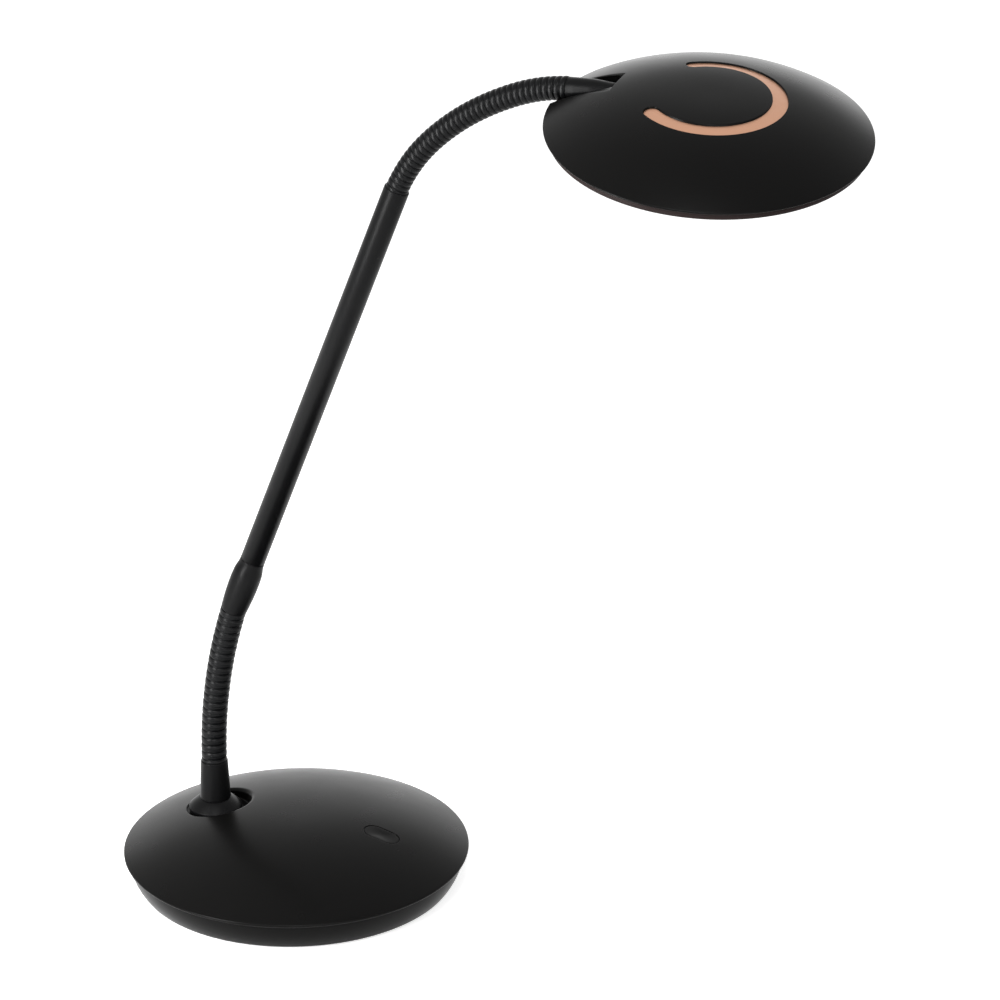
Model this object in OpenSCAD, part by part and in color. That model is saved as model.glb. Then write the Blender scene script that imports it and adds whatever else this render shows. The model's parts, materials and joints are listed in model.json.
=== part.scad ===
// Gooseneck desk lamp: domed weighted base with a push switch, a swivelling
// foot, a lower flexible neck, a rigid arm tube, an upper flexible neck and a
// disc-shaped LED head that turns on its neck end.
// Origin: centre of the non-slip pad's underside. +X runs from the foot towards
// the head, +Z is up, and the arm leans in the plane y = 0. At rest the upper neck
// bows a little towards +Y.
// Each flexible neck is cut into short ball-and-socket links so that it can bend.

/* [Base shell] */
// Radius of the base at its rim
base_r = 90; // [86:0.5:100]
// Height of the rim above the bottom of the skirt
rim_height = 16.6; // [15:0.1:20]
// Rise of the dome above its rim
dome_rise = 20; // [18:0.5:26]
// Flatness of the dome's crown, where 2 is a parabola
dome_power = 2.4; // [2:0.1:2.8]
// Wall of the domed cover
cover_wall = 2.2; // [1.8:0.1:2.6]
// Radius of the round nose along the rim
rim_nose = 0.9; // [0.7:0.1:1.2]
// Radius of the skirt at its foot
foot_r = 81.9; // [79:0.1:84]
// Radius of the skirt's curved side
skirt_arc_r = 28.5; // [26:0.5:32]
// Wall of the skirt
skirt_wall = 2.2; // [1.8:0.1:2.6]
// Thickness of the tray's floor
floor_t = 2.6; // [2.2:0.1:3]
// Radius of the non-slip pad
pad_r = 68; // [60:1:70]
// Thickness of the non-slip pad
pad_t = 1.6; // [1.4:0.1:1.8]
// How far the pad stands proud of the skirt
pad_proud = 0.8; // [0.6:0.1:1]

/* [Ballast and fastenings] */
// Radius of the ballast plate
ballast_r = 67; // [62:0.5:68]
// Thickness of the ballast plate
ballast_t = 10; // [8:0.5:10.5]
// Circle of the three ballast posts
ballast_post_pcr = 50; // [46:0.5:52]
// Radius of a ballast post
ballast_post_r = 3.5; // [3:0.1:4]
// Circle of the four screws that hold the tray to the cover
tray_screw_pcr = 74.5; // [73:0.25:75]
// Radius of a screw boss
boss_r = 3.8; // [3.4:0.1:4]
// Radius of a screw's shank
screw_r = 1.4; // [1.2:0.1:1.6]
// Radius of a screw's head
screw_head_r = 2.8; // [2.5:0.1:3]
// Height of a screw's head
screw_head_h = 1.6; // [1.3:0.1:1.8]

/* [Power inlet] */
// Width of the inlet's body
jack_w = 9; // [8:0.5:10]
// Height of the inlet's body
jack_h = 9.6; // [9:0.1:10]
// Length of the inlet's body behind its nose
jack_len = 12; // [11:0.5:13]
// Outer radius of the inlet's nose
jack_nose_r = 4; // [3.7:0.1:4.2]
// Radius of the bore that takes the plug's barrel
jack_bore_r = 2.9; // [2.8:0.05:3]
// Depth of that bore
jack_depth = 9.5; // [9:0.5:11]
// Radius of the centre contact
jack_pin_r = 1; // [0.9:0.05:1.05]

/* [Switch] */
// Distance of the switch from the centre of the base
switch_x = 49; // [46:0.5:51]
// Length of the pill-shaped button
button_len = 18.8; // [17:0.1:20]
// Width of the pill-shaped button
button_w = 10.8; // [9.5:0.1:11.5]
// Gap all round the button
button_gap = 0.45; // [0.3:0.05:0.6]
// How far the button sits below the dome
button_sink = 0.25; // [0.1:0.05:0.4]
// Width of the flange that keeps the button in
button_flange = 1.2; // [1:0.1:1.6]
// Travel of the button
button_travel = 0.8; // [0.5:0.1:0.9]
// Length of the control board
board_len = 44; // [42:1:46]
// Width of the control board
board_w = 28; // [27:1:30]
// Thickness of the control board
board_t = 1.6; // [1.2:0.1:1.8]
// Underside of the control board above the tray's floor
board_lift = 15.6; // [14.5:0.1:16]
// Side of the tact switch's square body
tact_w = 6; // [5:0.5:7]
// Height of the tact switch's body
tact_h = 3.5; // [3:0.1:3.8]
// Radius of the tact switch's plunger
plunger_r = 1.7; // [1.5:0.1:1.9]

/* [Swivel foot] */
// Distance of the swivel's axis behind the centre of the base
hub_back = 47; // [45:0.5:48]
// Radius of the hub's flared disc
hub_r = 14.4; // [13.5:0.1:15]
// Height of the disc's edge
hub_edge_h = 3.1; // [2.6:0.1:3.4]
// Height of the flare above that edge
hub_flare_h = 4; // [3.4:0.1:4.4]
// Radius of the round pocket that the hub turns in
pocket_r = 17.5; // [17:0.1:18.5]
// Offset of the pocket from the hub towards the base's centre
pocket_shift = 2.5; // [2:0.1:2.6]
// Floor of the pocket above the bottom of the skirt
pocket_floor_h = 27.6; // [27:0.1:28.2]
// Radius of the hub's journal
journal_r = 8; // [7.6:0.1:8.4]
// Depth of the bearing below the pocket's floor
bearing_len = 7.4; // [7:0.1:8]
// Running clearance of the journal and of the head's axle
run_gap = 0.05; // [0.03:0.01:0.08]
// Radius of the threaded shank below the journal
shank_r = 6.4; // [6:0.1:6.6]
// Radius of the lead's bore through the arm
lead_bore_r = 2.6; // [2.5:0.05:2.8]
// Radius of the two-core lead in the arm
lead_r = 2; // [1.9:0.05:2.2]
// Radius of the tapered boot at its foot
boot_foot_r = 8.5; // [8.2:0.1:8.9]
// Radius of the tapered boot at its top
boot_top_r = 7.05; // [6.9:0.05:7.3]
// Height of the tapered boot
boot_h = 21.3; // [18:0.1:22]

/* [Lower flexible neck] */
// Outer radius of the lower neck
lower_r = 6.45; // [6.3:0.05:6.6]
// Radius of the ball in each lower link
lower_ball_r = 5.4; // [5.2:0.05:5.5]
// Length of one lower link
lower_link_len = 10.93; // [10.5:0.01:11.5]
// Rest bend at each lower joint
lower_step = 2.3; // [0:0.1:3]

/* [Arm] */
// Lean of the rigid tube from the vertical
arm_lean = 21.9; // [18:0.1:26]
// Length of the arm between its two necks
arm_len = 256.1; // [200:0.1:300]
// Outer radius of the rigid tube
tube_r = 6.1; // [5.9:0.05:6.3]
// Wall of the rigid tube
tube_wall = 1.2; // [0.8:0.1:1.4]
// Largest radius of the coupling sleeve
sleeve_r = 7.58; // [7.3:0.02:7.9]
// Length of the coupling sleeve
sleeve_len = 32; // [30:0.5:34]

/* [Upper flexible neck] */
// Outer radius of the upper neck
upper_r = 5.65; // [5.4:0.05:5.8]
// Radius of the ball in each upper link
upper_ball_r = 4.4; // [4.3:0.05:4.45]
// Length of one upper link
upper_link_len = 9.06; // [8.6:0.01:9.4]
// Length of the smooth neck end that enters the head
ferrule_len = 24.2; // [23:0.1:28]
// Radius of the neck end where it starts
ferrule_r = 5.35; // [5.1:0.05:5.5]
// Radius of the neck end where it meets the head
ferrule_tip_r = 4.3; // [4.1:0.1:4.4]

/* [Head shell] */
// Radius of the head at its rim
head_r = 76.5; // [75:0.5:80]
// Height of the head's dome above its rim
head_rise = 20; // [19:0.1:22]
// Flatness of the head's crown, where 2 is a parabola
head_power = 2.5; // [2.3:0.02:2.7]
// Wall of the head's dome
head_wall = 1.8; // [1.5:0.1:2]
// Tilt of the head against its neck end
head_pitch = 8.4; // [6:0.1:9]
// Turn of the head about its neck end
head_roll = 10.85; // [0:0.05:15]
// Distance from the head's centre to the closed end of its slot
slot_x = 46.5; // [46:0.1:47]
// Width of the slot
slot_w = 18.5; // [18:0.1:20]
// Height of the axle above the rim at the slot's closed end
axle_z = 8.4; // [8.2:0.05:8.6]
// Radius of the axle that the head turns on
axle_r = 3; // [2.9:0.05:3.1]
// Wall of the slot's trough
trough_wall = 1.45; // [1.3:0.05:1.5]

/* [Head ring inlay] */
// Outer radius of the C-shaped groove
groove_out_r = 35.5; // [34:0.1:37]
// Inner radius of the C-shaped groove
groove_in_r = 28.2; // [27:0.1:29]
// Half of the gap between the groove's round ends, as an angle
groove_gap_a = 47; // [42:0.2:52]
// Depth of the copper strip below the dome
inlay_sink = 0.9; // [0.6:0.1:1.5]

/* [Light unit] */
// Radius of the aluminium plate
plate_r = 58; // [55:0.5:60]
// Thickness of the aluminium plate
plate_t = 1.2; // [1:0.1:1.5]
// Height of the plate's top above the rim
plate_top = 4.8; // [4.7:0.05:5]
// Outer radius of the LED board
led_board_r = 43; // [41:0.5:44]
// Number of LEDs
led_count = 24; // [12:1:30]
// Radius of the diffuser
diffuser_r = 66.5; // [65.5:0.1:67]
// Thickness of the diffuser
diffuser_t = 2; // [1.8:0.1:2.2]
// Outer radius of the bezel ring
bezel_r = 72.8; // [72:0.1:73.5]
// Height of the bezel ring
bezel_h = 3.4; // [3.2:0.1:3.8]

/* [Hidden] */
$fn = 72;
lead_fn = 32;
eps = 0.01;
LOWER_COUNT = 8;
UPPER_COUNT = 12;
LOWER_LINKS = [for (i = [1:LOWER_COUNT]) str("lower_neck_link_", i)];
UPPER_LINKS = [for (i = [1:UPPER_COUNT]) str("upper_neck_link_", i)];

BLACK = [0.06, 0.06, 0.065];
COPPER = [0.79, 0.5, 0.37];
STEEL = [0.62, 0.63, 0.65];
IRON = [0.3, 0.3, 0.31];
BOARD_GREEN = [0.1, 0.32, 0.18];
WHITE = [0.93, 0.93, 0.91];

// ---- levels of the base, from the desk up ----
skirt_z = pad_proud;
rim_z = skirt_z + rim_height;
floor_z = skirt_z + floor_t;
BALLAST_A = [0, 80, 280];
ballast_top = floor_z + ballast_t;
ballast_screw_len = 7;
head_overlap = 1.5;
tray_screw_len = 7.5;
tray_sink = 1.4;
board_screw_len = 5;
nose_start_a = 62;
nose_r_start = base_r - rim_nose * (1 - cos(nose_start_a));
nose_z = dome_z(nose_r_start) - rim_nose * sin(nose_start_a);
under_rim_z = nose_z - rim_nose;
cover_in_r = base_r - 6;
dome_steps = 24;
inner_steps = 7;
function dome_z(r) = rim_z + dome_rise * (1 - pow(r / base_r, dome_power));

// The skirt's side is one arc that turns vertical just above the tray.
skirt_centre_z = rim_z + 1.1;
skirt_centre_r = foot_r - sqrt(pow(skirt_arc_r, 2) - pow(skirt_centre_z - skirt_z, 2));
function skirt_r(z) = skirt_centre_r + sqrt(pow(skirt_arc_r, 2) - pow(skirt_centre_z - z, 2));

// ---- swivel foot ----
hub_x = -hub_back;
pocket_x = hub_x + pocket_shift;
pocket_z = skirt_z + pocket_floor_h;
friction_t = 0.5;
hub_z = pocket_z + friction_t;
hub_top = hub_z + hub_edge_h + hub_flare_h;
pocket_slab = 2.2;
bearing_z = pocket_z - bearing_len;
end_play = 0.1;
journal_end = bearing_z - end_play;
tab_t = 0.8;
nut_h = 2.8;
hub_stem_r = 5;
hub_stem_h = 14;
stop_circle_r = 13;
stop_r = 1.5;
shank_end = journal_end - tab_t - nut_h - 0.4;

// ---- flexible necks ----
ball_gap = 0.15;
lower_groove = 1.4;
upper_groove = 1.5;
rib_groove_w = 1;
rib_groove_d = 0.55;
rib_round = 0.3;
ribs = 3;
boot_top = hub_top + boot_h;
collar_h = 0.6;
lower_z = boot_top + collar_h + lower_groove;
function lower_a(i) = lower_step * (i + 0.5);
function lower_pt(i) = i == 0 ? [hub_x, 0, lower_z]
    : lower_pt(i - 1) + lower_link_len * [sin(lower_a(i - 1)), 0, cos(lower_a(i - 1))];
arm_pt = lower_pt(LOWER_COUNT);
// Lean of each upper link, chosen so that the neck curls over evenly.
UPPER_LEAN = [28.3, 34.4, 40.9, 46.7, 51.2, 55.4, 59.9, 63.7, 67.2, 71.8, 77.7, 83.6];
// Turn of each upper link about the vertical, which bows the neck sideways.
UPPER_TURN = [0.7, 1.4, 1.9, 2.3, 2.5, 2.6, 2.5, 2.1, 1.6, 0.8, -0.2, -1.3];
neck_end_lean = 88.2;
neck_end_turn = -2.5;
function along(lean, turn) = [sin(lean) * cos(turn), sin(lean) * sin(turn), cos(lean)];
function upper_pt(i) = i == 0 ? arm_pt + arm_len * [sin(arm_lean), 0, cos(arm_lean)]
    : upper_pt(i - 1) + upper_link_len * along(UPPER_LEAN[i - 1], UPPER_TURN[i - 1]);
end_pt = upper_pt(UPPER_COUNT);

// ---- switch ----
board_z = floor_z + board_lift;
board_top = board_z + board_t;
board_rim_gap = 17;
board_x0 = base_r - board_rim_gap - board_len;
tact_top = board_top + tact_h;
plunger_proud = 1;
stem_r = 2.5;
button_pad_t = 1;
flange_top = tact_top + 2.2;
guide_end = flange_top + 0.2;
guide_wall = 1.6;
board_hole_in = 3.5;
BOARD_HOLES = [for (x = [board_hole_in, board_len - board_hole_in], y = [-1, 1])
    [board_x0 + x, y * (board_w / 2 - board_hole_in)]];

// ---- power inlet ----
jack_z = floor_z + jack_h / 2;
jack_face_x = -(skirt_r(jack_z) - 0.6);
jack_nose_len = 4.6;
jack_back_x = jack_face_x + jack_nose_len + jack_len;
// The notch in the ballast's edge clears the inlet and the lead behind it.
lead_notch = 8;
ballast_notch_x = max(lead_notch - ballast_r, jack_back_x + 1);

// ---- head ----
head_nose = 0.55;
head_nose_a = 60;
head_in_r = bezel_r - 1.4;
head_steps = 22;
function head_z(r) = head_rise * (1 - pow(r / head_r, head_power));
head_nose_r = head_r - head_nose * (1 - cos(head_nose_a));
head_nose_z = head_z(head_nose_r) - head_nose * sin(head_nose_a);
head_under = head_nose_z - head_nose;
trough_gap = 0.75;
trough_floor = ferrule_r + trough_gap;
end_wall_t = 1.8;
clamp_x0 = 2.2;
clamp_len = 8;
washer_t = 0.8;
washer_r = 4.6;
axle_nut_h = 3;
bezel_top = head_under;
bezel_z = bezel_top - bezel_h;
ledge_t = 0.8;
diffuser_z = bezel_z + ledge_t;
diffuser_top = diffuser_z + diffuser_t;
diffuser_gap = 0.3;
trough_low = bezel_z + 1.26;
led_t = 0.9;
led_board_t = 1.2;
led_board_in_r = 20;
led_board_top = plate_top - plate_t;
// Inner end of the cut that the plate and the reflector leave for the slot's trough.
trough_cut_x = end_wall_t + (axle_z - led_board_top + 1) * tan(head_pitch) + 0.3 - slot_x;
trough_side = slot_w / 2 + trough_wall;
clamp_screw_len = 5.5;
head_screw_len = 4.5;
led_circle_r = 34;
head_screw_pcr = 52;
HEAD_SCREW_A = [0, 90, 270];
stop_pin_r = 0.7;
stop_pin_circle = 3.4;
stop_pin_len = 1.4;
roll_limit = 80;

// ---- shared shapes ----

// Points of an arc about [cx, cy], from angle a0 to a1.
function arc(cx, cy, r, a0, a1, n) =
    [for (i = [0:n]) [cx + r * cos(a0 + (a1 - a0) * i / n), cy + r * sin(a0 + (a1 - a0) * i / n)]];

// A ring or disc lying flat with its underside at z.
module ring(r_out, r_in, z, h) {
    translate([0, 0, z])
        difference() {
            cylinder(r = r_out, h = h);
            if (r_in > 0)
                translate([0, 0, -1]) cylinder(r = r_in, h = h + 2);
        }
}

// Flat outline of a pill, long side along X.
module pill(len, w) {
    square([len - w, w], center = true);
    for (s = [-1, 1])
        translate([s * (len - w) / 2, 0]) circle(r = w / 2);
}

// A pan-head screw standing on its head: the head's seat is at z = 0, the shank points up.
module screw(len) {
    cylinder(r = screw_r, h = len);
    translate([0, 0, -screw_head_h])
        difference() {
            cylinder(r = screw_head_r, h = screw_head_h);
            translate([0, 0, -eps]) cylinder(r = screw_r * 0.8, h = screw_head_h * 0.6, $fn = 6);
        }
}

// A lead along straight runs, with a rounded elbow at each turn.
module lead(points, r) {
    $fn = lead_fn;
    for (i = [0:len(points) - 2])
        run(points[i], points[i + 1], r);
    for (i = [1:len(points) - 2])
        translate(points[i]) sphere(r = r * 1.18);
}

module run(a, b, r) {
    d = b - a;
    h = norm(d);
    translate(a)
        rotate([0, acos(d[2] / h), atan2(d[1], d[0])])
            cylinder(r = r, h = h);
}

// Everything under the base's domed outside.
module dome_body(drop = 0) {
    rotate_extrude()
        polygon(concat(
            [[0, skirt_z]],
            [[base_r - 2, skirt_z]],
            [for (i = [dome_steps:-1:0]) [(base_r - 2) * i / dome_steps,
                dome_z((base_r - 2) * i / dome_steps) - drop]]));
}

module at_hub() translate([hub_x, 0, 0]) children();
module at_pocket() translate([pocket_x, 0, 0]) children();
module at_switch() translate([switch_x, 0, 0]) children();
module at_arm() translate(arm_pt) rotate([0, arm_lean, 0]) children();

// Neck end's frame: +X runs along the neck end into the head.
module at_neck_end() translate(end_pt) rotate([0, neck_end_lean - 90, neck_end_turn]) children();

// Head's frame: origin at the centre of the rim plane, +X away from the neck, +Z up.
module at_head()
    at_neck_end()
        translate([ferrule_len, 0, 0])
            rotate([head_roll, 0, 0])
                rotate([0, head_pitch, 0])
                    translate([slot_x, 0, -axle_z]) children();

// Axle's frame inside the head's frame: +X along the axle, inwards.
module along_axle() translate([-slot_x, 0, axle_z]) rotate([0, -head_pitch, 0]) children();
module axle_rod(r, x, len) along_axle() translate([x, 0, 0]) rotate([0, 90, 0]) cylinder(r = r, h = len);

// ---- base ----

module base_cover() color(BLACK) {
    difference() {
        union() {
            cover_shell();
            intersection() {
                dome_body(cover_wall / 2);
                union() {
                    at_pocket() ring(pocket_r + 2, 0, pocket_z - pocket_slab, dome_rise);
                    for (a = [45:90:315])
                        rotate(a) translate([tray_screw_pcr, 0, 0])
                            ring(boss_r, 0, floor_z, dome_rise + rim_height);
                    for (p = BOARD_HOLES)
                        translate(p) ring(boss_r - 0.6, 0, board_top, dome_rise);
                    at_switch()
                        translate([0, 0, guide_end])
                            linear_extrude(dome_rise)
                                pill(button_len + 2 * guide_wall, button_w + 2 * guide_wall);
                }
            }
            at_hub() ring(journal_r + 3, 0, bearing_z, bearing_len - pocket_slab / 2);
            at_hub() translate([-stop_circle_r, 0, 0])
                ring(stop_r, 0, journal_end - tab_t, pocket_z - journal_end + tab_t - pocket_slab / 2);
        }
        at_pocket() ring(pocket_r, 0, pocket_z, dome_rise);
        at_hub() ring(journal_r + run_gap, 0, bearing_z - 1, bearing_len + 2);
        at_switch()
            translate([0, 0, board_top])
                linear_extrude(dome_rise + rim_height)
                    pill(button_len + 2 * button_gap, button_w + 2 * button_gap);
        for (a = [45:90:315])
            rotate(a) translate([tray_screw_pcr, 0, 0]) ring(screw_r, 0, floor_z - 1, tray_screw_len + tray_sink - floor_t + 1.5);
        for (p = BOARD_HOLES)
            translate(p) ring(screw_r, 0, board_top - 1, board_screw_len - board_t + 2);
    }
}

module cover_shell() {
    rotate_extrude()
        polygon(concat(
            [for (i = [0:dome_steps]) [nose_r_start * i / dome_steps, dome_z(nose_r_start * i / dome_steps)]],
            arc(base_r - rim_nose, nose_z, rim_nose, nose_start_a, -90, 10),
            [[cover_in_r, under_rim_z]],
            [for (i = [inner_steps:-1:0]) [cover_in_r * i / inner_steps,
                dome_z(cover_in_r * i / inner_steps) - cover_wall * 1.08]]));
}

module base_tray() color(BLACK) {
    skirt_steps = 10;
    difference() {
        union() {
            rotate_extrude()
                polygon(concat(
                    [[0, skirt_z], [foot_r - 0.6, skirt_z]],
                    [for (i = [0:skirt_steps]) let (z = skirt_z + 0.6
                        + (under_rim_z - skirt_z - 0.6) * i / skirt_steps) [skirt_r(z), z]],
                    [for (i = [skirt_steps:-1:0]) let (z = floor_z
                        + (under_rim_z - floor_z) * i / skirt_steps) [skirt_r(z) - skirt_wall, z]],
                    [[0, floor_z]]));
            for (a = BALLAST_A)
                rotate(a) translate([ballast_post_pcr, 0, 0])
                    ring(ballast_post_r, 0, floor_z - 1, ballast_t + 1);
        }
        ring(pad_r + 0.3, 0, skirt_z - 1, 1 + pad_t - pad_proud);
        for (a = BALLAST_A)
            rotate(a) translate([ballast_post_pcr, 0, 0]) ring(screw_r, 0, ballast_top - ballast_screw_len - 1, ballast_screw_len + 2);
        for (a = [45:90:315])
            rotate(a) translate([tray_screw_pcr, 0, 0]) {
                ring(screw_r + 0.2, 0, skirt_z - 1, floor_t + 2);
                ring(screw_head_r + 0.3, 0, skirt_z - 1, 1 + tray_sink);
            }
        translate([jack_face_x - 3, 0, jack_z])
            rotate([0, 90, 0]) cylinder(r = jack_nose_r + 0.1, h = 8);
    }
}

module non_slip_pad() color([0.12, 0.12, 0.12]) ring(pad_r, 0, 0, pad_t);

module ballast_plate() color(IRON) {
    difference() {
        ring(ballast_r, 0, floor_z, ballast_t);
        for (a = BALLAST_A)
            rotate(a) translate([ballast_post_pcr, 0, 0])
                ring(ballast_post_r + 0.3, 0, floor_z - 1, ballast_t + 2);
        translate([-ballast_r - 1, -jack_w / 2 - 1.5, floor_z - 1])
            cube([ballast_r + 1 + ballast_notch_x, jack_w + 3, ballast_t + 2]);
    }
}

module ballast_screws() color(STEEL)
    for (a = BALLAST_A)
        rotate(a) translate([ballast_post_pcr, 0, ballast_top]) mirror([0, 0, 1]) {
            cylinder(r = screw_r, h = ballast_screw_len);
            translate([0, 0, -screw_head_h]) cylinder(r = ballast_post_r + head_overlap, h = screw_head_h);
        }

module tray_screws() color(STEEL)
    for (a = [45:90:315])
        rotate(a) translate([tray_screw_pcr, 0, skirt_z + tray_sink]) screw(tray_screw_len);

module control_board() color(BOARD_GREEN) {
    difference() {
        translate([board_x0, -board_w / 2, board_z]) cube([board_len, board_w, board_t]);
        for (p = BOARD_HOLES)
            translate(p) ring(screw_r + 0.15, 0, board_z - 1, board_t + 2);
    }
}

module board_screws() color(STEEL)
    for (p = BOARD_HOLES)
        translate([p[0], p[1], board_z]) screw(board_screw_len);

module tact_switch_body() color([0.16, 0.16, 0.17]) at_switch() {
    difference() {
        translate([-tact_w / 2, -tact_w / 2, board_top]) cube([tact_w, tact_w, tact_h]);
        ring(plunger_r + 0.1, 0, tact_top - 1.9, 3);
    }
}

module dc_inlet() color([0.1, 0.1, 0.1]) {
    difference() {
        union() {
            translate([jack_face_x, 0, jack_z]) rotate([0, 90, 0])
                cylinder(r = jack_nose_r, h = jack_nose_len + 1);
            translate([jack_face_x + jack_nose_len, -jack_w / 2, floor_z]) cube([jack_len, jack_w, jack_h]);
        }
        translate([jack_face_x - 1, 0, jack_z]) rotate([0, 90, 0])
            cylinder(r = jack_bore_r, h = jack_depth + 1);
    }
    translate([jack_face_x + 1, 0, jack_z]) rotate([0, 90, 0])
        cylinder(r = jack_pin_r, h = jack_depth);
}

// Lead from the inlet's solder side, across the ballast, to the control board.
supply_r = 1;
lead_lie = ballast_top + supply_r + 0.4;
module supply_lead() color([0.15, 0.15, 0.16])
    lead([[jack_back_x - 2, 3, floor_z + jack_h + supply_r], [board_x0 + 2, 5, board_z - supply_r]],
        supply_r);

// Lead from the control board to the swivel's bore.
module lamp_lead() color([0.15, 0.15, 0.16])
    lead([[board_x0 + 2, -5, board_z - supply_r], [hub_x, -1, lead_lie]], supply_r);

module friction_washer() color(WHITE) at_hub() ring(hub_r - 2, journal_r + 0.3, pocket_z, friction_t);

// ---- button ----

module power_button() color(BLACK) {
    intersection() {
        at_switch() translate([0, 0, flange_top])
            linear_extrude(dome_rise) pill(button_len, button_w);
        dome_body(button_sink);
    }
    at_switch() {
        translate([0, 0, flange_top - button_pad_t])
            linear_extrude(button_pad_t)
                pill(button_len + 2 * button_flange, button_w + 2 * button_flange);
        ring(stem_r, 0, tact_top + plunger_proud, flange_top - button_pad_t - tact_top - plunger_proud);
    }
}

module switch_plunger() color(WHITE) at_switch()
    ring(plunger_r, 0, tact_top - 0.95, 0.95 + plunger_proud);

// ---- swivel foot ----

module swivel_hub() color(BLACK) at_hub() {
    difference() {
        rotate_extrude()
            polygon([[0, shank_end], [shank_r, shank_end], [shank_r, journal_end],
                [journal_r, journal_end], [journal_r, hub_z], [hub_r - 0.4, hub_z],
                [hub_r, hub_z + 0.4], [hub_r, hub_z + hub_edge_h - 0.4],
                [hub_r - 0.4, hub_z + hub_edge_h],
                [(hub_r + boot_foot_r) / 2, hub_z + hub_edge_h + hub_flare_h * 0.56],
                [boot_foot_r, hub_top - 0.3], [boot_foot_r - 0.5, hub_top],
                [hub_stem_r, hub_top], [hub_stem_r, hub_top + hub_stem_h], [0, hub_top + hub_stem_h]]);
        ring(lead_bore_r, 0, shank_end - 1, hub_top + hub_stem_h - shank_end + 2);
    }
}

// Washer keyed to the hub; its tab meets the stop under the pocket at either end of the swivel.
module tab_washer() color(STEEL) at_hub()
    difference() {
        union() {
            ring(journal_r + 2.6, 0, journal_end - tab_t, tab_t);
            translate([0, -stop_r, journal_end - tab_t]) cube([stop_circle_r + stop_r, 2 * stop_r, tab_t]);
        }
        ring(shank_r + 0.02, 0, journal_end - tab_t - 1, tab_t + 2);
    }

module swivel_nut() color(STEEL) at_hub()
    difference() {
        translate([0, 0, journal_end - tab_t - nut_h]) cylinder(r = 10.4, h = nut_h, $fn = 6);
        ring(shank_r + 0.02, 0, journal_end - tab_t - nut_h - 1, nut_h + 2);
    }

module neck_boot() color(BLACK) at_hub()
    difference() {
        rotate_extrude()
            polygon([[0, hub_top], [boot_foot_r - 0.3, hub_top], [boot_foot_r, hub_top + 0.4],
                [boot_top_r, boot_top - 0.5], [boot_top_r - 0.5, boot_top], [0, boot_top]]);
        ring(hub_stem_r + 0.02, 0, hub_top - 1, hub_stem_h + 1);
        ring(lower_ball_r + 0.8, 0, hub_top + hub_stem_h, boot_h);
    }

// Crimped end of the lower neck: fills the boot's top and carries the first ball.
module lower_neck_fitting() color(BLACK) at_hub()
    difference() {
        union() {
            ring(lower_ball_r + 0.75, 0, hub_top + hub_stem_h, boot_h - hub_stem_h + eps);
            ring(boot_top_r - 0.5, 0, boot_top, collar_h);
            translate([0, 0, lower_z]) sphere(r = lower_ball_r);
        }
        ring(lead_bore_r, 0, hub_top, boot_h + 20);
    }

module hub_lead() color([0.15, 0.15, 0.16]) at_hub()
    ring(lead_r, 0, shank_end + 0.1, lower_z - shank_end - 1);

// ---- flexible necks ----

// One link: a ribbed barrel with a socket at its foot and a ball at its head.
module neck_link(len, r, ball_r, groove) {
    pitch = len / ribs;
    difference() {
        union() {
            rotate_extrude()
                polygon(concat([[0, 0]],
                    [for (k = [0:ribs - 1]) each rib_outline(r, k * pitch,
                        k == ribs - 1 ? len - groove : (k + 1) * pitch - rib_groove_w,
                        k == ribs - 1 ? len - groove : (k + 1) * pitch)],
                    [[0, len - groove]]));
            translate([0, 0, len]) sphere(r = ball_r);
        }
        sphere(r = ball_r + ball_gap);
        ring(lead_bore_r, 0, -1, len + ball_r + 2);
    }
}

// One rib of the barrel's outline from z0 to z1, then the groove's floor up to z2.
function rib_outline(r, z0, z1, z2) = concat(
    [[r - rib_round, z0], [r, z0 + rib_round], [r, z1 - rib_round], [r - rib_round, z1]],
    z2 > z1 ? [[r - rib_groove_d, z1 + 0.1], [r - rib_groove_d, z2 - 0.1]] : []);

module lower_link(i) color(BLACK)
    translate(lower_pt(i)) rotate([0, lower_a(i), 0])
        neck_link(lower_link_len, lower_r, lower_ball_r, lower_groove);

module upper_link(i) color(BLACK)
    translate(upper_pt(i)) rotate([0, UPPER_LEAN[i], UPPER_TURN[i]])
        neck_link(upper_link_len, upper_r, upper_ball_r, upper_groove);

// ---- arm ----

// Radius of the coupling sleeve at s: a long swell, then a short shoulder down to the tube.
sleeve_peak = sleeve_len * 0.56;
shoulder_s = sleeve_len * 0.8;
function smooth(t) = t * t * (3 - 2 * t);
function swell(s) = s < sleeve_peak
    ? sleeve_r - (sleeve_r - lower_r) * pow(1 - s / sleeve_peak, 2)
    : sleeve_r - 0.35 * pow((s - sleeve_peak) / (shoulder_s - sleeve_peak), 2);
sleeve_lip = 0.15;
function sleeve_at(s) = s < shoulder_s ? swell(s)
    : swell(shoulder_s) - (swell(shoulder_s) - tube_r - sleeve_lip)
        * smooth((s - shoulder_s) / (sleeve_len - shoulder_s));
sleeve_steps = 28;
tube_seat = 12;

module coupling_sleeve() color(BLACK) at_arm()
    difference() {
        rotate_extrude()
            polygon(concat([[0, 0]],
                [for (i = [0:sleeve_steps]) let (s = sleeve_len * i / sleeve_steps)
                    [sleeve_at(s), s]],
                [[0, sleeve_len]]));
        sphere(r = lower_ball_r + ball_gap);
        ring(lead_bore_r, 0, 0, sleeve_len);
        ring(tube_r + 0.02, 0, tube_seat, sleeve_len);
    }

tube_top = arm_len - upper_groove;
module arm_tube() color(BLACK) at_arm()
    rotate_extrude()
        polygon(concat(
            [[tube_r - tube_wall, tube_seat], [tube_r, tube_seat]],
            arc(tube_r - tube_wall * 0.9, tube_top - tube_wall * 0.9, tube_wall * 0.9, 0, 90, 6),
            [[tube_r - tube_wall, tube_top]]));

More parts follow.
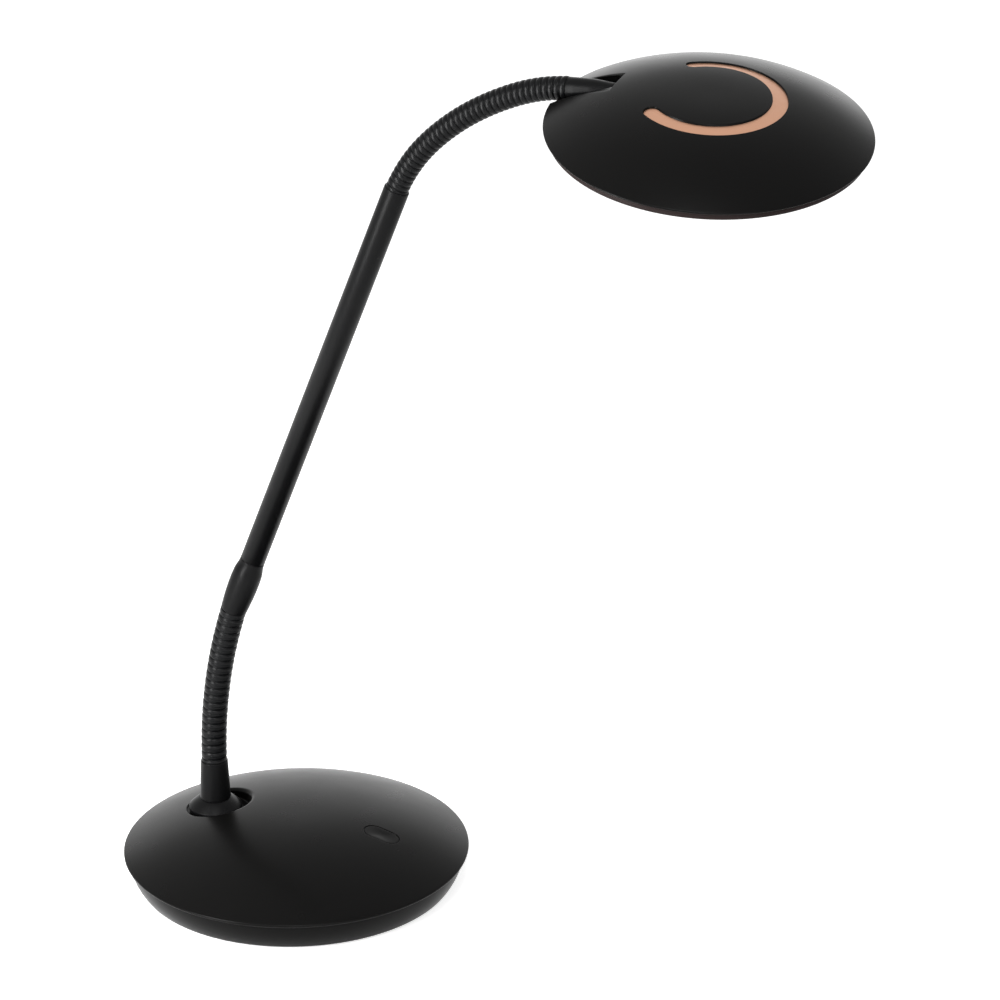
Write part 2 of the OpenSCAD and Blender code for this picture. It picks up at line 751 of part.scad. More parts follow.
module arm_lead() color([0.15, 0.15, 0.16]) at_arm()
    ring(lead_r, 0, 6.5, arm_len - 8);

// Plug in the tube's top that carries the ball of the upper neck's first joint.
module upper_neck_fitting() color(BLACK) at_arm()
    difference() {
        union() {
            ring(tube_r - tube_wall, 0, tube_top - 14, 14);
            translate([0, 0, arm_len]) sphere(r = upper_ball_r);
        }
        ring(lead_bore_r, 0, tube_top - 15, 30);
    }

// ---- neck end ----

module neck_end() color(BLACK) at_neck_end() {
    difference() {
        rotate([0, 90, 0])
            rotate_extrude()
                polygon([[0, 0], [ferrule_r, 0], [ferrule_r, ferrule_len * 0.5],
                    [ferrule_r - 0.15, ferrule_len * 0.7], [ferrule_tip_r + 0.2, ferrule_len - 2.5],
                    [ferrule_tip_r, ferrule_len - 0.15], [axle_r, ferrule_len - 0.15],
                    [axle_r, ferrule_len + clamp_x0 + clamp_len + washer_t + axle_nut_h + 1],
                    [0, ferrule_len + clamp_x0 + clamp_len + washer_t + axle_nut_h + 1]]);
        rotate([0, 90, 0]) sphere(r = upper_ball_r + ball_gap);
        rotate([0, 90, 0]) cylinder(r = lead_bore_r - 0.6, h = 80);
    }
    translate([ferrule_len - 0.5, 0, stop_pin_circle])
        rotate([0, 90, 0]) cylinder(r = stop_pin_r, h = 0.5 + stop_pin_len);
}

module axle_washer() color(STEEL) at_neck_end()
    translate([ferrule_len + clamp_x0 + clamp_len + 0.1, 0, 0])
        rotate([0, 90, 0]) ring(washer_r, axle_r + 0.02, 0, washer_t);

module axle_nut() color(STEEL) at_neck_end()
    translate([ferrule_len + clamp_x0 + clamp_len + washer_t + 0.1, 0, 0])
        rotate([0, 90, 0])
            difference() {
                cylinder(r = 4.6, h = axle_nut_h, $fn = 6);
                ring(axle_r + 0.02, 0, -1, axle_nut_h + 2);
            }

// ---- head ----

// Everything under the head's outside, with room for the trough inside the bezel.
module head_body(drop = 0) {
    rotate_extrude()
        polygon(concat(
            [[0, diffuser_top + 0.2], [diffuser_r + 0.4, diffuser_top + 0.2], [diffuser_r + 0.4, trough_low],
                [bezel_r - 2, trough_low], [bezel_r - 2, head_under], [head_r - 1, head_under]],
            [for (i = [head_steps:-1:0]) [(head_r - 1) * i / head_steps,
                head_z((head_r - 1) * i / head_steps) - drop]]));
}

module head_shell() {
    rotate_extrude()
        polygon(concat(
            [for (i = [0:head_steps]) [head_nose_r * i / head_steps, head_z(head_nose_r * i / head_steps)]],
            arc(head_r - head_nose, head_nose_z, head_nose, head_nose_a, -90, 8),
            [[head_in_r, head_under]],
            [for (i = [inner_steps:-1:0]) [(head_in_r - 4) * i / inner_steps,
                head_z((head_in_r - 4) * i / inner_steps) - head_wall * 1.06]]));
}

// A wedge over the neck side, which leaves the C open.
module gap_wedge(half_a, r)
    polygon([[0, 0], [-r, r * tan(half_a)], [-r * 1.5, 0], [-r, -r * tan(half_a)]]);

// The C as an upright band between two radii, with round ends a hair wider than the band.
end_relief = 0.04;
module c_band(r_in, r_out, half_a) {
    mid_r = (r_in + r_out) / 2;
    end_r = (r_out - r_in) / 2;
    end_a = half_a + asin(end_r / mid_r);
    linear_extrude(30) {
        difference() {
            circle(r = r_out);
            circle(r = r_in);
            gap_wedge(end_a, r_out * 1.5);
        }
        for (s = [-1, 1])
            rotate(180 + s * end_a) translate([mid_r, 0]) circle(r = end_r + end_relief);
    }
}

module trough_box(side, floor, x1)
    along_axle() translate([-45, -side, -floor]) cube([45 + x1, 2 * side, 60]);

module head_cover() color(BLACK) at_head() {
    difference() {
        union() {
            head_shell();
            intersection() {
                head_body(head_wall / 2);
                union() {
                    trough_box(trough_side, trough_floor + trough_wall, end_wall_t);
                    for (a = HEAD_SCREW_A)
                        rotate(a) translate([head_screw_pcr, 0, 0]) ring(boss_r, 0, plate_top, head_rise);
                }
            }
        }
        trough_box(slot_w / 2, trough_floor, 0);
        c_band(groove_in_r, groove_out_r, groove_gap_a);
        axle_rod(axle_r + 0.3, -1, 8);
        for (a = HEAD_SCREW_A)
            rotate(a) translate([head_screw_pcr, 0, 0]) ring(screw_r, 0, plate_top - 1, head_screw_len - plate_t + 1.3);
        along_axle()
            rotate([0, 90, 0])
                roll_slot();
    }
}

// Arc-shaped slot in the trough's end wall; the neck end's pin meets its ends.
module roll_slot() {
    pin_a = asin(stop_pin_r / stop_pin_circle);
    half = roll_limit + pin_a + 3;
    difference() {
        ring(stop_pin_circle + stop_pin_r + 0.2, stop_pin_circle - stop_pin_r - 0.2, -1, 4);
        linear_extrude(12, center = true)
            polygon([[0, 0], [20 * cos(180 - half), 20 * sin(180 - half)],
                [20, 20], [20, -20], [20 * cos(180 + half), 20 * sin(180 + half)]]);
    }
}

module copper_inlay() color(COPPER) at_head() {
    lip = 1.4;
    seat = head_wall * 1.06;
    seat_gap = 0.13;
    intersection() {
        head_body(inlay_sink);
        c_band(groove_in_r + 0.05, groove_out_r - 0.05, groove_gap_a + 0.1);
        lift_body(seat + seat_gap);
    }
    intersection() {
        head_body(seat + seat_gap);
        c_band(groove_in_r - lip, groove_out_r + lip, groove_gap_a - 2);
        lift_body(seat + seat_gap + 1.1);
    }
}

// Everything above a surface that lies the given depth below the head's outside.
module lift_body(depth)
    rotate_extrude()
        polygon(concat(
            [for (i = [0:head_steps]) [(head_r - 1) * i / head_steps,
                head_z((head_r - 1) * i / head_steps) - depth]],
            [[head_r - 1, 60], [0, 60]]));

module head_clamp() color(STEEL) at_head()
    difference() {
        union() {
            along_axle() translate([clamp_x0, -6.5, -3.8]) cube([clamp_len, 13, 7.4]);
            translate([-slot_x + 2.8, -11, plate_top]) cube([clamp_len - 1, 22, 2.4]);
        }
        axle_rod(axle_r + run_gap, 0, 20);
        translate([-slot_x, -20, plate_top - 10]) cube([30, 40, 10]);
        for (s = [-1, 1])
            translate([-slot_x + 6.3, s * 8.8, 0]) ring(screw_r, 0, plate_top - 1, 6);
    }

module clamp_screws() color(STEEL) at_head()
    for (s = [-1, 1])
        translate([-slot_x + 6.3, s * 8.8, plate_top - plate_t - led_board_t]) screw(clamp_screw_len);

module heat_plate() color(STEEL) at_head()
    difference() {
        ring(plate_r, 0, plate_top - plate_t, plate_t);
        translate([-head_r, -trough_side - 0.8, 0])
            cube([head_r + trough_cut_x, 2 * trough_side + 1.6, 20]);
        for (a = HEAD_SCREW_A)
            rotate(a) translate([head_screw_pcr, 0, 0]) ring(screw_r + 0.2, 0, 0, 10);
        for (s = [-1, 1])
            translate([-slot_x + 6.3, s * 8.8, 0]) ring(screw_r + 0.1, 0, 0, 10);
        translate([-18, 0, 0]) ring(2.6, 0, 0, 10);
    }

module led_board() color(WHITE) at_head()
    difference() {
        ring(led_board_r, led_board_in_r, led_board_top - led_board_t, led_board_t);
        for (s = [-1, 1])
            translate([-slot_x + 6.3, s * 8.8, 0]) ring(screw_r + 0.1, 0, 0, 10);
    }

module leds() color([0.95, 0.85, 0.45]) at_head()
    for (i = [0:led_count - 1])
        rotate(360 * (i + 0.5) / led_count)
            translate([led_circle_r - 1.4, -1.8, led_board_top - led_board_t - led_t]) cube([2.8, 3.6, led_t]);

module reflector() color(WHITE) at_head()
    difference() {
        rotate_extrude()
            polygon([[led_board_r + 0.3, led_board_top - 1], [led_board_r + 0.3, led_board_top],
                [plate_r, led_board_top], [diffuser_r - 1.5, diffuser_top],
                [diffuser_r - 3, diffuser_top], [plate_r - 0.6, led_board_top - 1]]);
        translate([-head_r, -trough_side - 0.8, -10])
            cube([head_r + trough_cut_x, 2 * trough_side + 1.6, 30]);
        for (a = HEAD_SCREW_A)
            rotate(a) translate([head_screw_pcr, 0, 0]) ring(screw_head_r + 0.4, 0, -10, 30);
    }

module diffuser() color(WHITE) at_head() ring(diffuser_r, 0, diffuser_z, diffuser_t);

module bezel_ring() color(BLACK) at_head()
    difference() {
        rotate_extrude()
            polygon([[diffuser_r - 2.5, bezel_z], [bezel_r - 1, bezel_z], [bezel_r - 0.2, bezel_z + 0.6],
                [bezel_r, bezel_z + 1.4], [bezel_r, bezel_top], [diffuser_r + diffuser_gap, bezel_top],
                [diffuser_r + diffuser_gap, diffuser_z], [diffuser_r - 2.5, diffuser_z]]);
        translate([-head_r, -trough_side - 0.6, trough_low - 0.1])
            cube([head_r - diffuser_r + 5.4, 2 * trough_side + 1.2, 10]);
    }

module head_screws() color(STEEL) at_head()
    for (a = HEAD_SCREW_A)
        rotate(a) translate([head_screw_pcr, 0, plate_top - plate_t]) screw(head_screw_len);

// Lead from the axle's bore, through the plate, to the LED board.
module head_lead() color([0.15, 0.15, 0.16]) at_head()
    lead([[-27, 0, 11.2], [-20, 0, 10.5], [-18, 0, 7], [-18, 0, led_board_top - led_board_t - 0.7],
        [-21.5, 0, led_board_top - led_board_t - 0.7]], 0.7);

base_cover();
base_tray();
non_slip_pad();
ballast_plate();
ballast_screws();
tray_screws();
control_board();
board_screws();
tact_switch_body();
dc_inlet();
supply_lead();
lamp_lead();
friction_washer();
power_button();
switch_plunger();
swivel_hub();
tab_washer();
swivel_nut();
neck_boot();
lower_neck_fitting();
hub_lead();
for (i = [0:LOWER_COUNT - 1])
    lower_link(i);
coupling_sleeve();
arm_tube();
arm_lead();
upper_neck_fitting();
for (i = [0:UPPER_COUNT - 1])
    upper_link(i);
neck_end();
axle_washer();
axle_nut();
head_cover();
copper_inlay();
head_clamp();
clamp_screws();
heat_plate();
led_board();
leds();
reflector();
diffuser();
bezel_ring();
head_screws();
head_lead();
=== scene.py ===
"""Looks of the gooseneck desk lamp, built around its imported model.

Shapes are worked out in millimetres and become metres when their mesh is made.
The base's centre is the origin, and the arm leans towards +X.
"""

import json
import math

import bmesh
import bpy
import numpy as np
from mathutils import Matrix, Vector


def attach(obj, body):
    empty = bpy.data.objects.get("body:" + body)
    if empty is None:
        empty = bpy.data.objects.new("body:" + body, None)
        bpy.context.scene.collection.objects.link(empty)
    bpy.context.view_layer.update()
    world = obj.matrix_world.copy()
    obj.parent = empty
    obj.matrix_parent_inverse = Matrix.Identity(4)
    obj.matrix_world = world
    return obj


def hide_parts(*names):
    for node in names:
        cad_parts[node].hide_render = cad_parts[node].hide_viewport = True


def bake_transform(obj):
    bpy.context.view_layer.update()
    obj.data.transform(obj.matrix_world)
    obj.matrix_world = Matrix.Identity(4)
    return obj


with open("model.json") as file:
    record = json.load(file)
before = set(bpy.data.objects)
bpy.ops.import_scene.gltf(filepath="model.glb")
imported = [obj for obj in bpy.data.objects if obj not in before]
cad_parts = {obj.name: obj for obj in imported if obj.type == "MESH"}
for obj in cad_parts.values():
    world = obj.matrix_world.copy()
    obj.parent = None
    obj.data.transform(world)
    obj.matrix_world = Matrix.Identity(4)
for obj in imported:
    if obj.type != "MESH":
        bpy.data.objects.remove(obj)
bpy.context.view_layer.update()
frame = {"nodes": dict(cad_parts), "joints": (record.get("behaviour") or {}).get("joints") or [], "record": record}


# ---- Camera: a long lens about 1.9 m away, above the head and looking down at the whole lamp ----
# Lengths are in metres. The three aim values carry the view from the base's centre to the frame's middle.
azimuth, elevation, distance = math.radians(23.06), math.radians(21.78), 1.9175
aim_right, aim_up, aim_lift = 0.10627, 0.19504, 0.0008
sensor, lens_share = 36, 3.656
level_share = math.cos(elevation)
back = Vector((math.sin(azimuth) * level_share, -math.cos(azimuth) * level_share, math.sin(elevation)))
right = Vector((math.cos(azimuth), math.sin(azimuth), 0))
up = back.cross(right)
place = right * aim_right + up * aim_up + Vector((0, 0, aim_lift)) + back * distance
camera = bpy.data.objects.new("camera", bpy.data.cameras.new("camera"))
camera.matrix_world = Matrix((
    (right.x, up.x, back.x, place.x),
    (right.y, up.y, back.y, place.y),
    (right.z, up.z, back.z, place.z),
    (0, 0, 0, 1)))
camera.data.sensor_width = sensor
camera.data.lens = lens_share * sensor
camera.data.clip_start = 0.05
camera.data.clip_end = 60
bpy.context.collection.objects.link(camera)
bpy.context.scene.camera = camera


# ---- Studio light: a white room with four softboxes ----
# The room is white to look at and in reflections but gives little light. A tall narrow box at the front
# left draws the long soft highlight along the tube and the necks, and a small one above the front the
# line along the rims. Broad ones behind and at the front right lift the dome, the head and their shadows.
def softbox(name, at, towards, size, power):
    """A rectangular area light at a point, turned towards another point; metres and watts."""
    lamp = bpy.data.objects.new(name, bpy.data.lights.new(name, "AREA"))
    lamp.data.shape = "RECTANGLE"
    lamp.data.size, lamp.data.size_y = size
    lamp.data.energy = power
    lamp.location = at
    lamp.rotation_euler = (Vector(towards) - Vector(at)).to_track_quat("-Z", "Y").to_euler()
    bpy.context.collection.objects.link(lamp)


softbox("tall_softbox", at=(-0.312, -0.627, 0.47), towards=(0.0, 0.0, 0.47), size=(0.22, 0.92), power=12)
softbox("back_softbox", at=(-1.3, 3.2, 0.86), towards=(0.05, 0.0, 0.3), size=(4.5, 1.7), power=26)
softbox("front_softbox", at=(1.3, -1.8, 0.65), towards=(0.03, 0.0, 0.25), size=(1.5, 1.2), power=16)
softbox("rim_softbox", at=(0.35, -0.80, 1.45), towards=(0.05, 0.0, 0.2), size=(0.5, 0.5), power=7)


def background_rays(tree):
    """A socket that is 1 for rays that show the background: straight, mirrored or through glass."""
    ray = tree.nodes.new("ShaderNodeLightPath")
    shows = ray.outputs["Is Camera Ray"]
    for kind in ("Is Glossy Ray", "Is Transmission Ray"):
        either = tree.nodes.new("ShaderNodeMath")
        either.operation = "MAXIMUM"
        tree.links.new(shows, either.inputs[0])
        tree.links.new(ray.outputs[kind], either.inputs[1])
        shows = either.outputs[0]
    return shows


room_light, room_white = 0.35, 1.0
world = bpy.data.worlds.new("studio")
bpy.context.scene.world = world
world.use_nodes = True
sky = world.node_tree
sky.nodes["Background"].inputs["Color"].default_value = (1, 1, 1, 1)
room = sky.nodes.new("ShaderNodeMapRange")
room.inputs["To Min"].default_value = room_light
room.inputs["To Max"].default_value = room_white
sky.links.new(background_rays(sky), room.inputs["Value"])
sky.links.new(room.outputs["Result"], sky.nodes["Background"].inputs["Strength"])
bpy.context.scene.view_settings.view_transform = "Standard"


# ---- Studio floor: plain and white, far larger than the lamp ----
# It glows a little towards the camera, and in mirrors and glass, so that only deep shadow shows on it.
floor_half, floor_glow = 30, 0.7
floor_corners = [(x * floor_half, y * floor_half, 0) for x, y in ((-1, -1), (1, -1), (1, 1), (-1, 1))]
floor_mesh = bpy.data.meshes.new("studio_floor")
floor_mesh.from_pydata(floor_corners, [], [(0, 1, 2, 3)])
studio_floor = bpy.data.objects.new("studio_floor", floor_mesh)
bpy.context.collection.objects.link(studio_floor)
pale = bpy.data.materials.new("pale_floor")
pale.use_nodes = True
shader = pale.node_tree.nodes["Principled BSDF"]
shader.inputs["Base Color"].default_value = (0.9, 0.9, 0.9, 1)
shader.inputs["Roughness"].default_value = 0.9
shader.inputs["Specular IOR Level"].default_value = 0.0
shader.inputs["Emission Color"].default_value = (1, 1, 1, 1)
glow = pale.node_tree.nodes.new("ShaderNodeMath")
glow.operation = "MULTIPLY"
glow.inputs[1].default_value = floor_glow
pale.node_tree.links.new(background_rays(pale.node_tree), glow.inputs[0])
pale.node_tree.links.new(glow.outputs[0], shader.inputs["Emission Strength"])
floor_mesh.materials.append(pale)


# ---- Base cover: one black ABS moulding, a flat-crowned dome with a small round nose at its rim ----
# It has the fine grain of a spark-eroded mould and is screwed to the tray from below.
# The round pocket holds the swivel foot and its bearing, and the pill-shaped opening the button.
grain_depth = 0.00005


def finish(name, colour, rough, metal=0.0, level=0.5,
           grain=0.0, grain_size=5000.0, vary=0.0, vary_size=40.0):
    """A surface of one colour, whose roughness drifts by vary over about 1 / vary_size metres.

    grain is the strength of a fine bump, 0.05 mm deep at most, of about 1 / grain_size metres.
    """
    material = bpy.data.materials.new(name)
    material.use_nodes = True
    nodes, links = material.node_tree.nodes, material.node_tree.links
    shader = nodes["Principled BSDF"]
    shader.inputs["Base Color"].default_value = (*colour, 1)
    shader.inputs["Roughness"].default_value = rough
    shader.inputs["Metallic"].default_value = metal
    shader.inputs["Specular IOR Level"].default_value = level
    where = nodes.new("ShaderNodeTexCoord")
    if vary:
        drift = nodes.new("ShaderNodeTexNoise")
        drift.inputs["Scale"].default_value = vary_size
        drift.inputs["Detail"].default_value = 4
        gloss = nodes.new("ShaderNodeMapRange")
        ends = {"From Min": 0.3, "From Max": 0.7, "To Min": rough - vary, "To Max": rough + vary}
        for end, value in ends.items():
            gloss.inputs[end].default_value = value
        links.new(where.outputs["Object"], drift.inputs["Vector"])
        links.new(drift.outputs["Fac"], gloss.inputs["Value"])
        links.new(gloss.outputs["Result"], shader.inputs["Roughness"])
    if grain:
        noise = nodes.new("ShaderNodeTexNoise")
        noise.inputs["Scale"].default_value = grain_size
        noise.inputs["Detail"].default_value = 2
        bump = nodes.new("ShaderNodeBump")
        bump.inputs["Strength"].default_value = grain
        bump.inputs["Distance"].default_value = grain_depth
        links.new(where.outputs["Object"], noise.inputs["Vector"])
        links.new(noise.outputs["Fac"], bump.inputs["Height"])
        links.new(bump.outputs["Normal"], shader.inputs["Normal"])
    return material


def dress(slot, material):
    """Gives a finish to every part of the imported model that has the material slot."""
    for part in frame["record"]["subparts"]:
        if part["material_slot"] == slot:
            materials = frame["nodes"][part["node"]].data.materials
            materials.clear()
            materials.append(material)


def skin(name, grids, material, fill=False):
    """One mesh from grids of points in millimetres, joined where their edges meet.

    Each grid is an array (rows, columns, 3). Faces join neighbouring rows and columns.
    With fill, the flat loops that stay open are closed.
    """
    metre, same_point = 0.001, 2e-6
    mesh = bpy.data.meshes.new(name)
    points, faces, start = [], [], 0
    for grid in grids:
        grid = np.asarray(grid, float)
        rows, columns = grid.shape[:2]
        points.append(grid.reshape(-1, 3) * metre)
        index = start + np.arange(rows * columns).reshape(rows, columns)
        quads = np.stack([index[:-1, :-1], index[:-1, 1:], index[1:, 1:], index[1:, :-1]], -1)
        faces.append(quads.reshape(-1, 4))
        start += rows * columns
    mesh.from_pydata(np.vstack(points).tolist(), [], np.vstack(faces).tolist())
    work = bmesh.new()
    work.from_mesh(mesh)
    bmesh.ops.remove_doubles(work, verts=work.verts, dist=same_point)
    if fill:
        open_edges = [e for e in work.edges if len(e.link_faces) == 1]
        bmesh.ops.holes_fill(work, edges=open_edges, sides=0)
        bmesh.ops.triangulate(work, faces=[f for f in work.faces if len(f.verts) > 4])
    bmesh.ops.recalc_face_normals(work, faces=work.faces)
    work.to_mesh(mesh)
    work.free()
    mesh.polygons.foreach_set("use_smooth", [True] * len(mesh.polygons))
    piece = bpy.data.objects.new(name, mesh)
    bpy.context.collection.objects.link(piece)
    mesh.materials.append(material)
    return piece


satin_black = finish("satin_black_plastic", (0.0031, 0.0030, 0.0029), 0.29,
                     level=0.06, grain=0.12, vary=0.02)
dress("black_plastic", satin_black)

dome_rim_z, dome_rise, dome_power, base_radius = 17.4, 20.0, 2.4, 90.0
pocket_x, pocket_r, pocket_floor = -45.1, 16.9, 28.4
bearing_x, bearing_r, bearing_low, bearing_wall_r = -47.0, 8.05, 21.0, 11.0
pill_x, pill_long, pill_wide, pill_gap = 49.0, 18.8, 10.8, 0.22
parting_x, cover_wall, inner_r, crown_r = 6.0, 2.38, 84.0, 89.5225


def dome(x, y):
    """Height of the dome: the rim's height plus the rise times 1 - (r / 90)^2.4."""
    return dome_rim_z + dome_rise * (1 - (np.hypot(x, y) / base_radius) ** dome_power)


def cut_disc(radius, left=150, right_side=130, chord=46):
    """Points round the left and the right part of a disc cut along x = parting_x, and round all of it.

    The loops run anticlockwise: first the arc, then the chord, and back to the first point. left,
    right_side and chord are the numbers of points on each.
    """
    turn = math.acos(parting_x / radius)
    a = np.linspace(turn, 2 * math.pi - turn, left)
    b = np.linspace(-turn, turn, right_side)
    y = np.linspace(-radius * math.sin(turn), radius * math.sin(turn), chord)
    line = np.stack([np.full(chord, parting_x), y], 1)
    arc_a = np.stack([radius * np.cos(a), radius * np.sin(a)], 1)
    arc_b = np.stack([radius * np.cos(b), radius * np.sin(b)], 1)
    whole = np.vstack([arc_a, arc_b[1:]])
    return np.vstack([arc_a, line[1:]]), np.vstack([arc_b, line[::-1][1:]]), whole


def with_z(xy, z):
    """Plane points with a height, which is one number or one for each point."""
    return np.concatenate([xy, np.broadcast_to(np.asarray(z, float), (len(xy),))[:, None]], 1)


def quarter(steps):
    """Angles from 0 to a quarter turn, in equal steps."""
    return [k / steps * math.pi / 2 for k in range(steps + 1)]


loop_a, loop_b, crown_edge = cut_disc(crown_r)
low_a, low_b = cut_disc(inner_r)[:2]
toward_pocket = loop_a - (pocket_x, 0)
toward_pocket /= np.linalg.norm(toward_pocket, axis=1)[:, None]
toward_pill = loop_b - (pill_x, 0)
toward_pill /= np.linalg.norm(toward_pill, axis=1)[:, None]


def pocket_ring(radius, centre=pocket_x):
    """Circle of the pocket in the loop's directions; the radius is one number or one for each point."""
    return np.array([centre, 0]) + toward_pocket * np.reshape(radius, (-1, 1))


def pill_ring(grow):
    """The pill's outline, two half circles joined by straight sides, grown outwards by a distance."""
    half, r = (pill_long - pill_wide) / 2, pill_wide / 2 + grow
    dx, dy = np.abs(toward_pill[:, 0]), np.abs(toward_pill[:, 1])
    flat = r / np.maximum(dy, 1e-9)
    root = np.sqrt(np.maximum(r * r - (half * dy) ** 2, 0))
    reach = np.where(dx * flat <= half, flat, half * dx + root)
    return np.stack([pill_x + toward_pill[:, 0] * reach, toward_pill[:, 1] * reach], 1)


# The crown's left part, from the bearing's foot up the pocket and out to the rim.
bearing_rows = ((bearing_r, bearing_x, bearing_low), (bearing_r, bearing_x, 21.2),
                (bearing_r, bearing_x, 28.1), (8.25, bearing_x, pocket_floor),
                (8.5, bearing_x, pocket_floor), (12.0, -46, pocket_floor),
                (15.7, pocket_x, pocket_floor))
rows_a = [with_z(pocket_ring(radius, centre), z) for radius, centre, z in bearing_rows]
wall = pocket_ring(pocket_r)
wall_h = dome(*wall.T) - pocket_floor
lip, fillet = np.clip(0.6 * wall_h, 0.3, 2.2), np.minimum(1.0, 0.25 * wall_h)
for a in quarter(6):
    ring = pocket_ring(pocket_r - fillet * (1 - math.sin(a)))
    rows_a.append(with_z(ring, pocket_floor + fillet * (1 - math.cos(a))))
wall_top = dome(*wall.T) - lip
for t in (0.1, 0.5, 0.9):
    rows_a.append(with_z(wall, pocket_floor + fillet + t * (wall_top - pocket_floor - fillet)))
for a in quarter(10):
    ring = pocket_ring(pocket_r + lip * (1 - math.cos(a)))
    rows_a.append(with_z(ring, dome(*ring.T) - lip * (1 - math.sin(a))))
inner = pocket_ring(pocket_r + lip)
for s in np.linspace(0, 1, 40)[1:] ** 1.25:
    ring = inner + s * (loop_a - inner)
    rows_a.append(with_z(ring, dome(*ring.T)))

# Its inside face, from the rim to the wall round the pocket and the bearing.
boss_r, boss_low = 19.0, 26.2
under_a = []
for s in np.linspace(0, 1, 12):
    ring = low_a + s * (pocket_ring(boss_r) - low_a)
    under_a.append(with_z(ring, dome(*ring.T) - cover_wall))
for radius, centre, z in ((boss_r, pocket_x, boss_low), (bearing_wall_r, bearing_x, boss_low),
                          (bearing_wall_r, bearing_x, bearing_low), (bearing_r, bearing_x, bearing_low)):
    under_a.append(with_z(pocket_ring(radius, centre), z))

# The crown's right part, from the foot of the pill-shaped opening out to the rim.
pill_low, pill_start, pill_wall, edge = 26.5, 26.8, 2.05, 0.3
wall = pill_ring(pill_gap)
rows_b = [with_z(wall, z) for z in (pill_low, pill_start)]
for t in (0.5, 0.95):
    rows_b.append(with_z(wall, pill_start + t * (dome(*wall.T) - edge - pill_start)))
for a in quarter(6):
    ring = pill_ring(pill_gap + edge * (1 - math.cos(a)))
    rows_b.append(with_z(ring, dome(*ring.T) - edge * (1 - math.sin(a))))
inner = pill_ring(pill_gap + edge)
for s in np.linspace(0, 1, 44)[1:] ** 1.5:
    ring = inner + s * (loop_b - inner)
    rows_b.append(with_z(ring, dome(*ring.T)))

# Its inside face, from the rim to the wall round the opening.
under_b = []
for s in np.linspace(0, 1, 12):
    ring = low_b + s * (pill_ring(pill_wall) - low_b)
    under_b.append(with_z(ring, dome(*ring.T) - cover_wall))
for grow in (pill_wall, pill_gap):
    under_b.append(with_z(pill_ring(grow), pill_low))

# The rim: a round nose, then a flat foot and the step up to the inside face.
nose_r, nose_x, nose_z, foot_z = 0.9, 89.1, 16.8594, 15.9594
profile = [(nose_x + nose_r * math.cos(a), nose_z + nose_r * math.sin(a))
           for a in np.radians(np.linspace(62, -90, 13))]
profile += [(88.9, foot_z), (84.2, foot_z), (inner_r, foot_z)]
profile += [(inner_r, float(dome(inner_r, 0)) - cover_wall)]
rim_rows = [with_z(cut_disc(radius)[2], z) for radius, z in profile]
rim_rows[0] = with_z(crown_edge, dome(crown_r, 0))
base_cover = skin("dome_cover", [rows_a, under_a, rows_b, under_b, rim_rows], satin_black)
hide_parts("base_cover")
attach(base_cover, "base")


# ---- Base tray: the black moulded skirt and floor under the cover ----
# Its side swells outwards towards the rim, and screws from below hold it to the cover.
# The round hole at the back is for the power inlet.
def turned(name, outline, material, base, along, columns=160):
    """A closed outline (r, h) in millimetres, turned about the line through base in direction along."""
    along = np.asarray(along, float) / np.linalg.norm(along)
    side = np.array([0.0, 1.0, 0.0])
    side = side - along * (side @ along)
    side /= np.linalg.norm(side)
    other = np.cross(side, along)
    outline = np.vstack([outline, outline[:1]])
    angle = np.linspace(0, 2 * math.pi, columns + 1)[None, :, None]
    r, h = outline[:, 0][:, None, None], outline[:, 1][:, None, None]
    grid = np.asarray(base, float) + along * h + (side * np.cos(angle) + other * np.sin(angle)) * r
    grid[:, -1] = grid[:, 0]
    return skin(name, [grid], material)


swell_r, swell_x, swell_z, skirt_wall, tray_floor = 28.5, 59.5625, 18.5, 2.2, 3.4
recess_r, recess_z, tray_low = 68.3, 1.6, 0.8


def skirt(z):
    """Radius of the skirt: an arc of 28.5 mm whose centre is at r = 59.6 and z = 18.5."""
    return swell_x + np.sqrt(swell_r ** 2 - (swell_z - z) ** 2)


rise = np.linspace(1.4, 15.9, 26)
outer = [(float(skirt(z)), float(z)) for z in rise]
inside = [(float(skirt(z)) - skirt_wall, float(z)) for z in rise[::-1] if z > tray_floor + 0.2]
outline = [(0, recess_z), (recess_r, recess_z), (recess_r, tray_low), (80.9, tray_low), (81.5, 0.95)]
outline += outer + inside + [(79.2, tray_floor), (0, tray_floor)]
tray = turned("base_skirt", outline, satin_black, (0, 0, 0), (0, 0, 1), columns=256)

inlet_r, inlet_at, inlet_reach = 4.1, (-85, 0, 8.2), 8
inlet_outline = [(0, -inlet_reach), (inlet_r, -inlet_reach), (inlet_r, inlet_reach), (0, inlet_reach)]
punch = turned("inlet_hole", inlet_outline, satin_black, inlet_at, (1, 0, 0), columns=64)
cut = tray.modifiers.new("inlet_hole", "BOOLEAN")
cut.object = punch
cut.solver = "EXACT"
bpy.context.view_layer.update()
cut_mesh = bpy.data.meshes.new_from_object(tray.evaluated_get(bpy.context.evaluated_depsgraph_get()))
tray.modifiers.clear()
tray.data = cut_mesh
bpy.data.objects.remove(punch)
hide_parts("base_tray")
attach(tray, "base")


